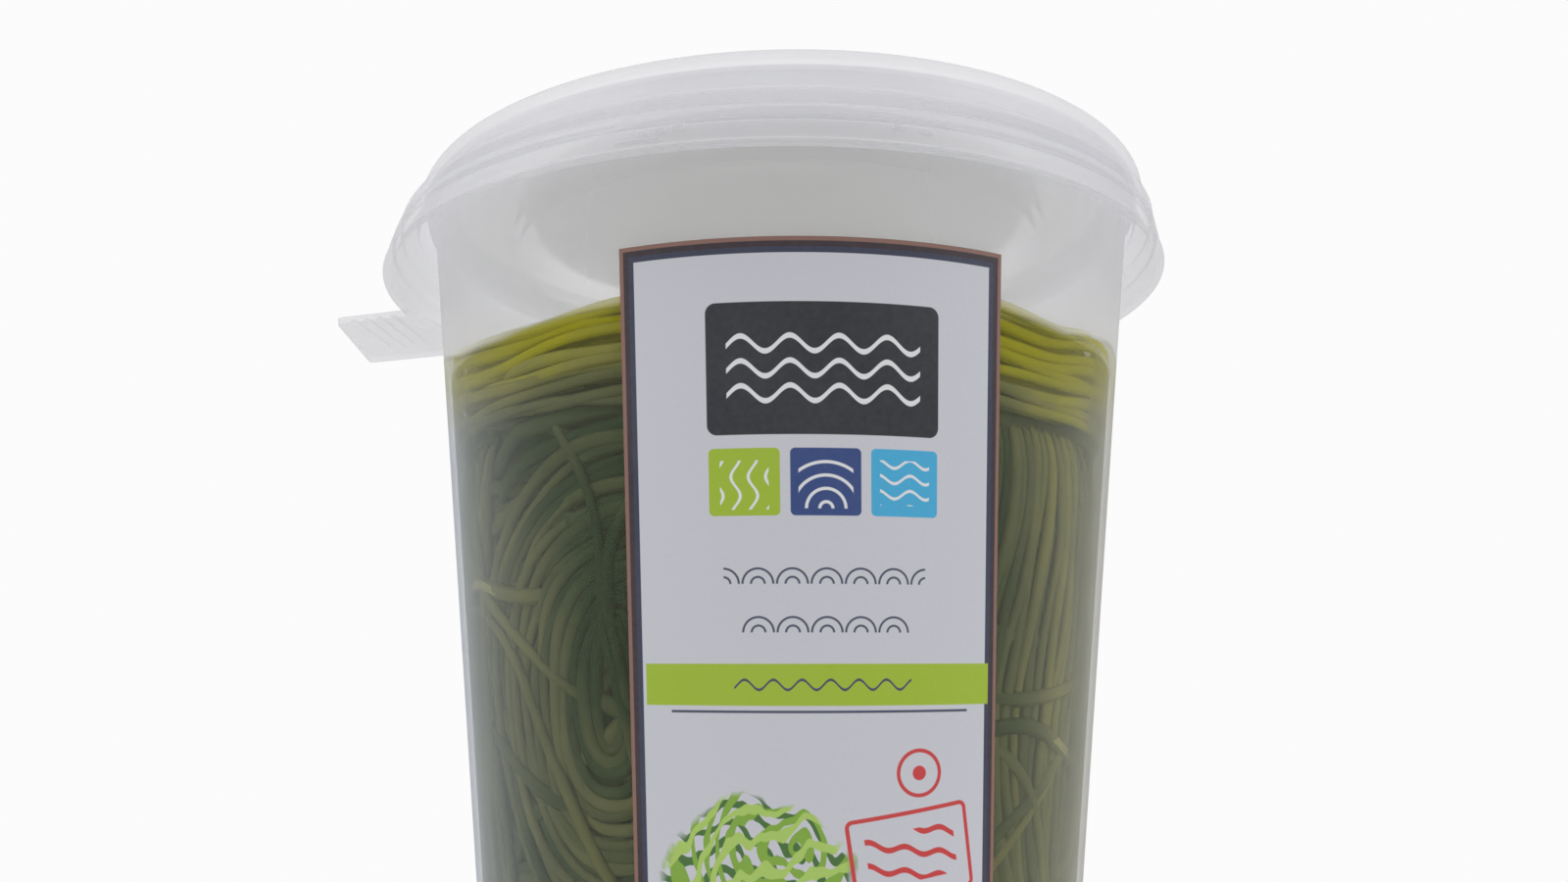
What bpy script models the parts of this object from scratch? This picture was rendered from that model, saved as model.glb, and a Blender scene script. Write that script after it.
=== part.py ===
"""A round snap-lid tub filled with sea spaghetti seaweed in sea water.

Metres, +Z up. The origin is the centre of the flat base, and the front, which carries the
label, faces -Y. Angles round the tub are counted from the front towards +X.
"""
import math

import bmesh
import bpy
from mathutils import Vector

# Tub
HEIGHT = 0.1258
SKIRT_LIP_HEIGHT = 0.1145
WALL_RADIUS_AT_LIP = 0.0445
WALL_TAPER = 0.0615
WALL_THICKNESS = 0.001
FLOOR_THICKNESS = 0.0014
HEEL_RADIUS = 0.0024
INNER_HEEL_RADIUS = 0.0018
RIM_TOP = 0.1238
RIM_RADIUS = 0.0458
RIM_UNDERSIDE = 0.1202
RIM_EDGE_RADIUS = 0.001

# Lid
LID_TOP_RADIUS = 0.0468
LID_EDGE_RADIUS = 0.0025
LID_THICKNESS = 0.001
PLUG_RADIUS = 0.0435
PLUG_THICKNESS = 0.0011
PLUG_EDGE = 0.0006
PANEL_TOP = 0.1206
PANEL_STEP = 0.0048
PANEL_STEP_RADIUS = 0.0345
# Outer face of the skirt under its rounded edge, three bands with a groove between each two:
# height, distance outside LID_TOP_RADIUS
SKIRT_OUTSIDE = (
    (0.1210, 0.0006),
    (0.1204, 0.0012),
    (0.1199, 0.0012),
    (0.1195, 0.0006),
    (0.1190, 0.0006),
    (0.1187, 0.0015),
    (0.1177, 0.0017),
    (0.1175, 0.0012),
    (0.1172, 0.0012),
    (0.1170, 0.0019),
    (0.1152, 0.0022),
    (0.1149, 0.0025),
    (0.1145, 0.0025),
)
# Inner face of the skirt from the lip up, with the ridge that snaps under the tub's rim:
# height, distance outside the rim and its gap
SKIRT_INSIDE = (
    (0.1145, 0.0022),
    (0.1166, 0.0016),
    (0.1184, 0.0009),
    (0.1194, -0.0005),
    (0.1199, -0.0005),
    (0.1206, 0.0),
)
# The skirt flares more towards the tab: how far at the lip, and where the flare starts
FLARE = 0.0022
FLARE_TOP = 0.1240
TAB_ANGLE = math.radians(-106.5)
TAB_WIDTH = 0.020
TAB_NEAR_LENGTH = 0.0615
TAB_FAR_LENGTH = 0.0705
TAB_OFFSET = -0.0031
TAB_THICKNESS = 0.0009
TAB_ROOT = 0.0508

# Label
LABEL_TOP = 0.1078
LABEL_BOTTOM = 0.010
LABEL_WIDTH = 0.0394
LABEL_CENTRE = math.radians(5.1)
# The label was put on a little askew and narrows downwards, each a share of the way down
LABEL_LEAN = 0.0165
LABEL_NARROWING = 0.34
LABEL_THICKNESS = 0.0004

# Contents
FILL_LEVEL = 0.1023
GAP = 0.0003
WATER_THICKNESS = 0.0007
TOP_LAYER_BASE = 0.0926
STRAND_WIDTH = 0.0033
STRAND_RISE = 0.0011
STRAND_DEPTH = 0.0016
STRAND_PITCH = 0.0042
STRAND_STEP = 0.0059
LEVEL_PITCH = 0.0056
LEVEL_STEP = 0.0072
DRIFT = 0.003
CORE_DEPTH = 0.0016
CORE_SEGMENTS = 40
CONTENTS_RADIUS = 0.040
LOWEST_STRAND = 0.0055
HIGHEST_STRAND = 0.0903
END_SINK = 0.002
COIL_HALF_WIDTH = 0.0235
COIL_INNER_WIDTH = 0.0044
COIL_SQUARENESS = 0.82
FOLD_BULGE = 0.012
UPRIGHT_WAVE = 0.0022
# Each coil: angle of its centre from the front, height, half height, way it turns
COILS = (
    (math.radians(-22), 0.0615, 0.0285, -1),
    (math.radians(98), 0.0370, 0.0300, 1),
    (math.radians(218), 0.0480, 0.0320, -1),
)
# Heights of the two rings of strand round the top layer, above its base
TOP_RINGS = (0.0021, 0.0061)

ROUND_SEGMENTS = 48
CORNER_STEPS = 3


def clear_scene():
    """Remove every object of the open scene."""
    for item in list(bpy.data.objects):
        bpy.data.objects.remove(item, do_unlink=True)


def material(name, colour, roughness, alpha=1.0):
    """Return a new Principled material."""
    made = bpy.data.materials.new(name)
    made.use_nodes = True
    made.diffuse_color = (*colour, alpha)
    shader = made.node_tree.nodes["Principled BSDF"]
    shader.inputs["Base Color"].default_value = (*colour, 1.0)
    shader.inputs["Roughness"].default_value = roughness
    shader.inputs["Metallic"].default_value = 0.0
    shader.inputs["Alpha"].default_value = alpha
    return made


def new_object(name, mesh, its_material):
    """Link a mesh to the scene as a named object with one material."""
    mesh.materials.clear()
    mesh.materials.append(its_material)
    mesh.shade_smooth()
    mesh.set_sharp_from_angle(angle=math.radians(40))
    made = bpy.data.objects.new(name, mesh)
    bpy.context.scene.collection.objects.link(made)
    return made


def wall_radius(height):
    """Radius of the tub's outer wall at a height."""
    return WALL_RADIUS_AT_LIP - WALL_TAPER * (SKIRT_LIP_HEIGHT - height)


def inner_radius(height, clearance=0.0):
    """Radius of the tub's inner wall at a height, less a clearance."""
    return wall_radius(height) - WALL_THICKNESS - clearance


def arc(centre, radius, start, end, steps=CORNER_STEPS):
    """Points (r, z) of an arc round a centre, angles in degrees from +r towards +z."""
    points = []
    for step in range(steps + 1):
        angle = math.radians(start + (end - start) * step / steps)
        points.append((centre[0] + radius * math.cos(angle), centre[1] + radius * math.sin(angle)))
    return points


def turned_mesh(name, profile, segments=ROUND_SEGMENTS):
    """Turn a profile of (r, z) points, which starts and ends on the axis, round Z."""
    bm = bmesh.new()
    rings = []
    for radius, height in profile:
        if radius == 0.0:
            rings.append([bm.verts.new((0.0, 0.0, height))])
            continue
        ring = []
        for step in range(segments):
            angle = 2 * math.pi * step / segments
            ring.append(bm.verts.new((radius * math.sin(angle), -radius * math.cos(angle), height)))
        rings.append(ring)
    for lower, upper in zip(rings, rings[1:]):
        for step in range(segments):
            after = (step + 1) % segments
            if len(lower) == 1:
                bm.faces.new((lower[0], upper[step], upper[after]))
            elif len(upper) == 1:
                bm.faces.new((lower[step], upper[0], lower[after]))
            else:
                bm.faces.new((lower[step], upper[step], upper[after], lower[after]))
    bmesh.ops.recalc_face_normals(bm, faces=bm.faces)
    mesh = bpy.data.meshes.new(name)
    bm.to_mesh(mesh)
    bm.free()
    return mesh


def round_the_tub(radius, angle, height):
    """World point at a radius, an angle from the front and a height."""
    return Vector((radius * math.sin(angle), -radius * math.cos(angle), height))


def make_tub(its_material):
    """The tapered shell with its flat base, rounded heel and rolled rim."""
    heel_centre = (wall_radius(HEEL_RADIUS) - HEEL_RADIUS, HEEL_RADIUS)
    inner_heel_height = FLOOR_THICKNESS + INNER_HEEL_RADIUS
    inner_heel_centre = (inner_radius(inner_heel_height) - INNER_HEEL_RADIUS, inner_heel_height)
    rim_centre = (RIM_RADIUS - RIM_EDGE_RADIUS, RIM_TOP - RIM_EDGE_RADIUS)
    rim_foot = RIM_UNDERSIDE + RIM_EDGE_RADIUS
    profile = [(0.0, 0.0)]
    profile += arc(heel_centre, HEEL_RADIUS, -90, 0)
    profile.append((wall_radius(RIM_UNDERSIDE), RIM_UNDERSIDE))
    profile.append((RIM_RADIUS - RIM_EDGE_RADIUS / 3, rim_foot))
    profile.append((RIM_RADIUS, rim_foot + RIM_EDGE_RADIUS / 2))
    profile += arc(rim_centre, RIM_EDGE_RADIUS, 0, 90)
    profile.append((inner_radius(RIM_TOP) + PLUG_EDGE, RIM_TOP))
    profile.append((inner_radius(RIM_TOP), RIM_TOP - PLUG_EDGE))
    profile += arc(inner_heel_centre, INNER_HEEL_RADIUS, 0, -90)
    profile.append((0.0, FLOOR_THICKNESS))
    return new_object("tub", turned_mesh("tub", profile), its_material)


def flare_skirt(mesh):
    """Widen the skirt towards the tab, both faces alike, more and more down to the lip."""
    for vertex in mesh.vertices:
        radius = math.hypot(vertex.co.x, vertex.co.y)
        if radius < LID_TOP_RADIUS - LID_EDGE_RADIUS:
            continue
        down = min(max((FLARE_TOP - vertex.co.z) / (FLARE_TOP - SKIRT_LIP_HEIGHT), 0.0), 1.0)
        turn = math.atan2(vertex.co.x, -vertex.co.y) - TAB_ANGLE
        wider = FLARE * math.sin(math.pi / 2 * down) * (1 + math.cos(turn)) / 2
        vertex.co.x *= 1 + wider / radius
        vertex.co.y *= 1 + wider / radius


def make_lid(its_material):
    """The whole lid: panel, plug, raised ring, stepped skirt, snap ridge and lifting tab."""
    rim_clear = RIM_RADIUS + GAP
    ring_underside = RIM_TOP + GAP
    panel_underside = PANEL_TOP - LID_THICKNESS
    plug_inside = PLUG_RADIUS - PLUG_THICKNESS
    edge_centre = (LID_TOP_RADIUS - LID_EDGE_RADIUS, HEIGHT - LID_EDGE_RADIUS)
    profile = [
        (0.0, PANEL_TOP + PANEL_STEP),
        (PANEL_STEP_RADIUS, PANEL_TOP + PANEL_STEP),
        (PANEL_STEP_RADIUS + 0.001, PANEL_TOP),
        (plug_inside - PLUG_EDGE, PANEL_TOP),
        (plug_inside, PANEL_TOP + PLUG_EDGE),
        (plug_inside, HEIGHT - PLUG_EDGE),
        (plug_inside + PLUG_EDGE, HEIGHT),
    ]
    profile += arc(edge_centre, LID_EDGE_RADIUS, 90, 0)
    profile += [(LID_TOP_RADIUS + outside, height) for height, outside in SKIRT_OUTSIDE]
    profile += [(rim_clear + outside, height) for height, outside in SKIRT_INSIDE]
    profile += [
        (rim_clear, ring_underside - PLUG_EDGE),
        (rim_clear - PLUG_EDGE, ring_underside),
        (PLUG_RADIUS, ring_underside),
        (PLUG_RADIUS, panel_underside + PLUG_EDGE),
        (PLUG_RADIUS - PLUG_EDGE, panel_underside),
        (PANEL_STEP_RADIUS, panel_underside),
        (PANEL_STEP_RADIUS - 0.001, panel_underside + PANEL_STEP),
        (0.0, panel_underside + PANEL_STEP),
    ]
    mesh = turned_mesh("lid", profile)
    flare_skirt(mesh)
    lid = new_object("lid", mesh, its_material)
    join_by_union(lid, [make_tab()])
    return lid


def make_tab():
    """The flat lifting tab, a slanted strip that stands out of the lip, to be fused to the lid."""
    outward = round_the_tub(1.0, TAB_ANGLE, 0.0)
    across = Vector((outward.y, -outward.x, 0.0))
    near = TAB_OFFSET - TAB_WIDTH / 2
    far = TAB_OFFSET + TAB_WIDTH / 2
    near_root = math.sqrt(TAB_ROOT ** 2 - near ** 2)
    far_root = math.sqrt(TAB_ROOT ** 2 - far ** 2)
    corners = [(near_root, near), (TAB_NEAR_LENGTH, near), (TAB_FAR_LENGTH, far), (far_root, far)]
    bm = bmesh.new()
    ring = []
    for along, aside in corners:
        place = along * outward + aside * across
        ring.append(bm.verts.new((place.x, place.y, SKIRT_LIP_HEIGHT)))
    face = bm.faces.new(ring)
    made = bmesh.ops.extrude_face_region(bm, geom=[face])
    lifted = [item for item in made["geom"] if isinstance(item, bmesh.types.BMVert)]
    bmesh.ops.translate(bm, verts=lifted, vec=(0.0, 0.0, TAB_THICKNESS))
    bmesh.ops.recalc_face_normals(bm, faces=bm.faces)
    mesh = bpy.data.meshes.new("tab")
    bm.to_mesh(mesh)
    bm.free()
    return bpy.data.objects.new("tab", mesh)


def join_by_union(body, pieces):
    """Fuse loose pieces into a body with one Boolean union, then remove them."""
    loose = bpy.data.collections.new("loose_pieces")
    bpy.context.scene.collection.children.link(loose)
    for piece in pieces:
        loose.objects.link(piece)
    union = body.modifiers.new("join", "BOOLEAN")
    union.operation = "UNION"
    union.solver = "EXACT"
    union.operand_type = "COLLECTION"
    union.collection = loose
    bpy.context.view_layer.objects.active = body
    bpy.ops.object.modifier_apply(modifier=union.name)
    for piece in pieces:
        bpy.data.objects.remove(piece, do_unlink=True)
    bpy.data.collections.remove(loose)


def make_label(its_material):
    """The printed sheet on the front wall, a little askew and narrower at its foot."""
    columns = 14
    rows = 2
    bm = bmesh.new()
    sheets = []
    for depth in (GAP, GAP + LABEL_THICKNESS):
        sheet = []
        for row in range(rows + 1):
            height = LABEL_BOTTOM + (LABEL_TOP - LABEL_BOTTOM) * row / rows
            radius = wall_radius(height)
            down = LABEL_TOP - height
            centre = LABEL_CENTRE + LABEL_LEAN * down / radius
            half_angle = LABEL_WIDTH * (1 - LABEL_NARROWING * down) / radius / 2
            line = []
            for column in range(columns + 1):
                angle = centre + half_angle * (2 * column / columns - 1)
                line.append(bm.verts.new(round_the_tub(radius + depth, angle, height)))
            sheet.append(line)
        sheets.append(sheet)
    inner, outer = sheets
    for row in range(rows):
        for column in range(columns):
            for sheet in sheets:
                bm.faces.new((sheet[row][column], sheet[row][column + 1],
                              sheet[row + 1][column + 1], sheet[row + 1][column]))
    for row in (0, rows):
        for column in range(columns):
            bm.faces.new((inner[row][column], inner[row][column + 1],
                          outer[row][column + 1], outer[row][column]))
    for column in (0, columns):
        for row in range(rows):
            bm.faces.new((inner[row][column], inner[row + 1][column],
                          outer[row + 1][column], outer[row][column]))
    bmesh.ops.recalc_face_normals(bm, faces=bm.faces)
    mesh = bpy.data.meshes.new("label")
    bm.to_mesh(mesh)
    bm.free()
    return new_object("label", mesh, its_material)


def make_sea_water(its_material):
    """The liquid between wall and seaweed, with a plain hole that the seaweed stands in."""
    outer_floor = FLOOR_THICKNESS + GAP
    inner_floor = outer_floor + WATER_THICKNESS
    corner = 0.0016
    profile = [(0.0, outer_floor)]
    profile.append((inner_radius(outer_floor + corner, GAP) - corner, outer_floor))
    profile.append((inner_radius(outer_floor + corner, GAP) - 0.3 * corner, outer_floor + 0.3 * corner))
    profile.append((inner_radius(outer_floor + corner, GAP), outer_floor + corner))
    profile.append((inner_radius(FILL_LEVEL, GAP), FILL_LEVEL))
    hole = GAP + WATER_THICKNESS
    profile.append((inner_radius(FILL_LEVEL, hole), FILL_LEVEL))
    profile.append((inner_radius(inner_floor + corner, hole), inner_floor + corner))
    profile.append((inner_radius(inner_floor + corner, hole) - corner, inner_floor))
    profile.append((0.0, inner_floor))
    return new_object("sea_water", turned_mesh("sea_water", profile), its_material)


def contents_radius(height):
    """Outermost radius of the packed seaweed at a height."""
    return inner_radius(height, GAP + WATER_THICKNESS + GAP)


def even_steps(points, step):
    """Points at about equal distances along a polyline of tuples."""
    lengths = [0.0]
    for before, after in zip(points, points[1:]):
        lengths.append(lengths[-1] + math.dist(before, after))
    count = max(2, round(lengths[-1] / step))
    result = []
    index = 0
    for number in range(count + 1):
        wanted = lengths[-1] * number / count
        while index < len(points) - 2 and lengths[index + 1] < wanted:
            index += 1
        span = lengths[index + 1] - lengths[index]
        share = (wanted - lengths[index]) / span if span > 0 else 0.0
        pair = zip(points[index], points[index + 1])
        result.append(tuple(first + (second - first) * share for first, second in pair))
    return result


def strand_section():
    """Section of one flattened strand: (aside, outward) points, its root sunk below zero."""
    half = STRAND_WIDTH / 2
    crown = 0.55 * half
    return [(-half, -STRAND_DEPTH), (half, -STRAND_DEPTH), (crown, STRAND_RISE), (-crown, STRAND_RISE)]


def sweep(points, outwards):
    """A closed strand along world points, its flat side turned outwards at each."""
    section = strand_section()
    sides = len(section)
    bm = bmesh.new()
    rings = []
    for index, point in enumerate(points):
        before = points[max(index - 1, 0)]
        after = points[min(index + 1, len(points) - 1)]
        along = (after - before).normalized()
        outward = (outwards[index] - along * outwards[index].dot(along)).normalized()
        aside = along.cross(outward)
        rings.append([bm.verts.new(point + aside * across + outward * rise) for across, rise in section])
    for lower, upper in zip(rings, rings[1:]):
        for side in range(sides):
            after = (side + 1) % sides
            bm.faces.new((lower[side], lower[after], upper[after], upper[side]))
    bm.faces.new(rings[0])
    bm.faces.new(rings[-1])
    bmesh.ops.recalc_face_normals(bm, faces=bm.faces)
    mesh = bpy.data.meshes.new("strand")
    bm.to_mesh(mesh)
    bm.free()
    return bpy.data.objects.new("strand", mesh)


def drift(around, height):
    """Slow bend that all strands on the wall share, so that neighbours stay side by side."""
    turn = around / CONTENTS_RADIUS
    share = (height - LOWEST_STRAND) / (HIGHEST_STRAND - LOWEST_STRAND)
    held = math.sin(math.pi * min(max(share, 0.0), 1.0))
    sideways = DRIFT * (math.sin(turn + 8.0 * share) + 0.5 * math.sin(2 * turn - 5.0 * share + 1.0))
    upward = DRIFT * held * math.sin(2 * turn + 2.0 * share + 0.7)
    return (around + sideways, height + upward)


def wall_strand(route, step=STRAND_STEP):
    """A strand along a route of (distance round the contents, height), its ends sunk into the core."""
    places = even_steps(route, step)
    points = []
    outwards = []
    for index, (around, height) in enumerate(places):
        from_end = min(index, len(places) - 1 - index)
        sunk = END_SINK if from_end == 0 else 0.0
        angle = around / CONTENTS_RADIUS
        radius = contents_radius(height) - STRAND_RISE - sunk
        points.append(round_the_tub(radius, angle, height))
        outwards.append(round_the_tub(1.0, angle, 0.0))
    return sweep(points, outwards)


def level_strand(route, rise):
    """A strand that lies level on top of the contents, along a route of (x, y)."""
    places = even_steps(route, LEVEL_STEP)
    points = []
    for index, (x, y) in enumerate(places):
        from_end = min(index, len(places) - 1 - index)
        sunk = END_SINK if from_end == 0 else 0.0
        points.append(Vector((x, y, rise - sunk)))
    return sweep(points, [Vector((0.0, 0.0, 1.0))] * len(points))


def coil_route(around, height, half_width, half_height, turn_way):
    """A flat coil of one strand: rounded oval turns from the outside in, about one centre."""
    turns = (half_width - COIL_INNER_WIDTH) / STRAND_PITCH
    steps = round(turns * 48)
    route = []
    for step in range(steps + 1):
        angle = 2 * math.pi * turns * step / steps
        shrink = STRAND_PITCH * angle / (2 * math.pi)
        cosine = math.cos(angle)
        sine = math.sin(angle)
        across = (half_width - shrink) * math.copysign(abs(cosine) ** COIL_SQUARENESS, cosine)
        upward = (half_height - shrink) * math.copysign(abs(sine) ** COIL_SQUARENESS, sine)
        route.append((around + turn_way * across, height + upward))
    return route


def fold_routes(around, half_width, first, last, bulge):
    """Nested folds of strand above or below a coil, from one height to another."""
    count = max(0, math.floor(abs(last - first) / STRAND_PITCH + 0.2))
    routes = []
    for number in range(count):
        height = first + math.copysign(STRAND_PITCH * number, last - first)
        route = []
        for step in range(25):
            share = step / 12 - 1
            lift = bulge * (1 - math.sqrt(max(0.0, 1 - (0.93 * share) ** 2)))
            route.append((around + 0.93 * half_width * share, height + lift))
        routes.append([place for place in route if LOWEST_STRAND <= place[1] <= HIGHEST_STRAND])
    return [route for route in routes if len(route) > 6]


def upright_routes(first, last, phase):
    """Strands that run up and down the wall between two coils, gently waved."""
    count = round((last - first) / STRAND_PITCH)
    routes = []
    for number in range(count):
        start = first + (last - first) * (number + 0.5) / count
        swing = math.sin(math.pi * (number + 0.5) / count)
        route = []
        for step in range(25):
            share = step / 24
            height = LOWEST_STRAND + (HIGHEST_STRAND - LOWEST_STRAND) * share
            sway = UPRIGHT_WAVE * swing * math.sin(2 * math.pi * share + phase)
            route.append((start + sway, height))
        routes.append(route)
    return routes


def contents_core(name, bottom, top, its_material):
    """Packed inside of the seaweed, which the strands stand out of."""
    edge = 0.0015
    profile = [(0.0, bottom)]
    profile.append((contents_radius(bottom) - CORE_DEPTH - edge, bottom))
    profile.append((contents_radius(bottom + edge) - CORE_DEPTH, bottom + edge))
    profile.append((contents_radius(top - edge) - CORE_DEPTH, top - edge))
    profile.append((contents_radius(top) - CORE_DEPTH - edge, top))
    profile.append((0.0, top))
    return new_object(name, turned_mesh(name, profile, CORE_SEGMENTS), its_material)


def make_coils(its_material):
    """The main mass of strands: three coils against the wall with upright strands between them."""
    bottom = FLOOR_THICKNESS + GAP + WATER_THICKNESS + 2 * GAP
    core = contents_core("sea_spaghetti_coils", bottom, TOP_LAYER_BASE - 2 * GAP, its_material)
    girth = 2 * math.pi * CONTENTS_RADIUS
    routes = []
    for index, (angle, height, half_height, turn_way) in enumerate(COILS):
        around = angle * CONTENTS_RADIUS
        routes.append(coil_route(around, height, COIL_HALF_WIDTH, half_height, turn_way))
        under = height - half_height - STRAND_PITCH
        over = height + half_height + STRAND_PITCH
        routes += fold_routes(around, COIL_HALF_WIDTH, under, LOWEST_STRAND, FOLD_BULGE)
        routes += fold_routes(around, COIL_HALF_WIDTH, over, HIGHEST_STRAND, -FOLD_BULGE)
        following = COILS[(index + 1) % len(COILS)][0] * CONTENTS_RADIUS
        if following < around:
            following += girth
        first = around + COIL_HALF_WIDTH + STRAND_PITCH / 2
        last = following - COIL_HALF_WIDTH - STRAND_PITCH / 2
        routes += upright_routes(first, last, index * 2.1)
    bent = [[drift(*place) for place in route] for route in routes]
    join_by_union(core, [wall_strand(route) for route in bent])
    return core


def make_top_layer(its_material):
    """The level strands on top: rings along the wall and a coil across the surface."""
    surface = FILL_LEVEL - STRAND_RISE - GAP
    core = contents_core("sea_spaghetti_top", TOP_LAYER_BASE, surface, its_material)
    girth = 2 * math.pi * CONTENTS_RADIUS
    pieces = []
    for number, rise in enumerate(TOP_RINGS):
        start = girth * (0.31 + 0.43 * number)
        route = []
        for step in range(73):
            share = step / 72
            ripple = 0.00025 * math.sin(6 * math.pi * share + number)
            route.append((start + (girth - 0.008) * share, TOP_LAYER_BASE + rise + ripple))
        pieces.append(wall_strand(route, LEVEL_STEP))
    outer = contents_radius(FILL_LEVEL) - 0.0045
    turns = (outer - LEVEL_PITCH) / LEVEL_PITCH
    steps = round(turns * 40)
    route = []
    for step in range(steps + 1):
        angle = 2 * math.pi * turns * step / steps
        radius = outer - LEVEL_PITCH * angle / (2 * math.pi)
        squash = 1 - 0.22 * (1 - radius / outer) * math.cos(2 * angle + 0.9)
        route.append((squash * radius * math.cos(angle), squash * radius * math.sin(angle)))
    pieces.append(level_strand(route, surface))
    join_by_union(core, pieces)
    return core


def main():
    """Build every piece of the closed tub."""
    clear_scene()
    make_tub(material("tub_plastic", (0.80, 0.81, 0.83), 0.45, 0.45))
    make_lid(material("lid_plastic", (0.82, 0.82, 0.84), 0.40, 0.55))
    make_label(material("label_print", (0.77, 0.78, 0.80), 0.35))
    make_sea_water(material("sea_water", (0.45, 0.48, 0.28), 0.08, 0.35))
    make_coils(material("seaweed_green", (0.10, 0.12, 0.045), 0.30))
    make_top_layer(material("seaweed_olive", (0.24, 0.22, 0.03), 0.25))


main()
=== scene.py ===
"""Dresses the packed tub of sea spaghetti seaweed and sets it on a plain pale stage.

The file is laid out as a Blender add-on. Sizes and colours are properties, each group of pieces
has its own operator, and main() calls the operators in order. Metres, +Z up. The front, which
carries the label, faces -Y, and angles round the tub are counted from the front towards +X.
"""
import math

import bpy
import numpy as np
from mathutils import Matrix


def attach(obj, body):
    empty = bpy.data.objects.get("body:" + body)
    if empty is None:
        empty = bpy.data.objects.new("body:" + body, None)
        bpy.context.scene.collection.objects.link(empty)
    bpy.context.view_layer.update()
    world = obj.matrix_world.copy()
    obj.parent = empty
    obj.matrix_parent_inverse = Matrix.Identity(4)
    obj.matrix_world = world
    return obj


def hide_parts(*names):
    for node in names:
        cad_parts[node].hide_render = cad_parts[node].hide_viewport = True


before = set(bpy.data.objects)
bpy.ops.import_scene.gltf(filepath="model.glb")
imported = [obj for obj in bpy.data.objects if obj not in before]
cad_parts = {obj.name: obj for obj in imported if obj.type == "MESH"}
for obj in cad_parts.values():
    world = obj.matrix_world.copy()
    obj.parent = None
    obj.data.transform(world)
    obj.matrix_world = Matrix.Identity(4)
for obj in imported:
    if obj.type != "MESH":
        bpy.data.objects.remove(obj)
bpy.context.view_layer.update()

BODY = "root"

bl_info = {
    "name": "Tub of sea spaghetti",
    "version": (1, 0, 0),
    "blender": (4, 5, 0),
    "location": "3D View > Sidebar > Sea spaghetti",
    "description": "Builds a snap-lid tub packed with sea spaghetti seaweed, piece by piece",
    "category": "Add Mesh",
}

# Tub, as in the part's source but for its thinner wall
SKIRT_LIP_HEIGHT = 0.1145
WALL_RADIUS_AT_LIP = 0.0445
WALL_TAPER = 0.0615
WALL_THICKNESS = 0.0006
FLOOR_THICKNESS = 0.0014
HEEL_RADIUS = 0.0024
INNER_HEEL_RADIUS = 0.0018
RIM_TOP = 0.1238
RIM_RADIUS = 0.0458
RIM_UNDERSIDE = 0.1202
RIM_EDGE_RADIUS = 0.001

# Underside from the middle outwards: gate mark, shallow recess and standing ring
UNDERSIDE = ((0.0, 0.0002), (0.0013, 0.0002), (0.0016, 0.0006), (0.0262, 0.0006), (0.0272, 0.0))
TUB_SOFTENING = 0.0004

# Lid, as in the part's source but for its small marks and ribs
HEIGHT = 0.1258
LID_TOP_RADIUS = 0.0468
LID_EDGE_RADIUS = 0.0025
LID_THICKNESS = 0.001
PLUG_RADIUS = 0.0435
PLUG_THICKNESS = 0.0011
PLUG_EDGE = 0.0006
PANEL_TOP = 0.1206
PANEL_STEP = 0.0048
PANEL_STEP_RADIUS = 0.0345
PANEL_STEP_RUN = 0.001
LID_SOFTENING = 0.0003
# Low relief on the raised panel, as (radius, rise): gate mark and ring
PANEL_RELIEF = (
    (0.0, 0.00025), (0.0012, 0.00025), (0.0015, 0.0), (0.0190, 0.0), (0.0194, 0.0003),
    (0.0204, 0.0003), (0.0208, 0.0),
)
# Faces of the skirt, as (height, distance outside the lid's top edge or the tub's rim)
SKIRT_OUTSIDE = (
    (0.1210, 0.0006), (0.1204, 0.0012), (0.1199, 0.0012), (0.1195, 0.0006), (0.1190, 0.0006),
    (0.1187, 0.0015), (0.1177, 0.0017), (0.1175, 0.0012), (0.1172, 0.0012), (0.1170, 0.0019),
    (0.1152, 0.0022), (0.1149, 0.0025), (0.1145, 0.0025),
)
SKIRT_INSIDE = (
    (0.1145, 0.0022), (0.1166, 0.0016), (0.1184, 0.0009), (0.1194, -0.0005), (0.1199, -0.0005),
    (0.1206, 0.0),
)
FLARE = 0.0022
FLARE_TOP = 0.1240
TAB_ANGLE = math.radians(-106.5)
TAB_NEAR = -0.0131
TAB_FAR = 0.0069
TAB_NEAR_LENGTH = 0.0615
TAB_FAR_LENGTH = 0.0705
TAB_ROOT = 0.0508
TAB_THICKNESS = 0.0009
TAB_CORNER = 0.0009
RIBS = 4
RIB_START = 0.0535
RIB_STEP = 0.0022
RIB_WIDTH = 0.0008
RIB_SLANT = 0.0040
RIB_INSET = 0.0025
RIB_RISE = 0.0003
# Marks of the mould on the skirt: angle in degrees, height, width, rise and how far proud
NIBS = (
    (-14.6, 0.1164, 0.0013, 0.0006, 0.00030),
    (-12.7, 0.1165, 0.0011, 0.0006, 0.00026),
    (-10.6, 0.1167, 0.0013, 0.0006, 0.00030),
    (-15.2, 0.1157, 0.0046, 0.0003, 0.00018),
    (13.4, 0.1166, 0.0010, 0.0005, 0.00020),
    (16.8, 0.1164, 0.0012, 0.0005, 0.00020),
)

# Contents, as in the part's source
GAP = 0.0003
CONTENTS_RADIUS = 0.040
CONTENTS_GIRTH = 2 * math.pi * CONTENTS_RADIUS
LOWEST_STRAND = 0.0045
HIGHEST_STRAND = 0.0925
COIL_HALF_WIDTH = 0.0235
COIL_SQUARENESS = 0.82
FOLD_BULGE = 0.012
DRIFT = 0.003
# Coils on the wall: angle from the front, height of the middle, half height and way round
COILS = (
    (math.radians(-22), 0.0615, 0.0285, -1),
    (math.radians(98), 0.0370, 0.0300, 1),
    (math.radians(218), 0.0480, 0.0320, -1),
)
TOP_LAYER_BASE = 0.0926

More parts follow.
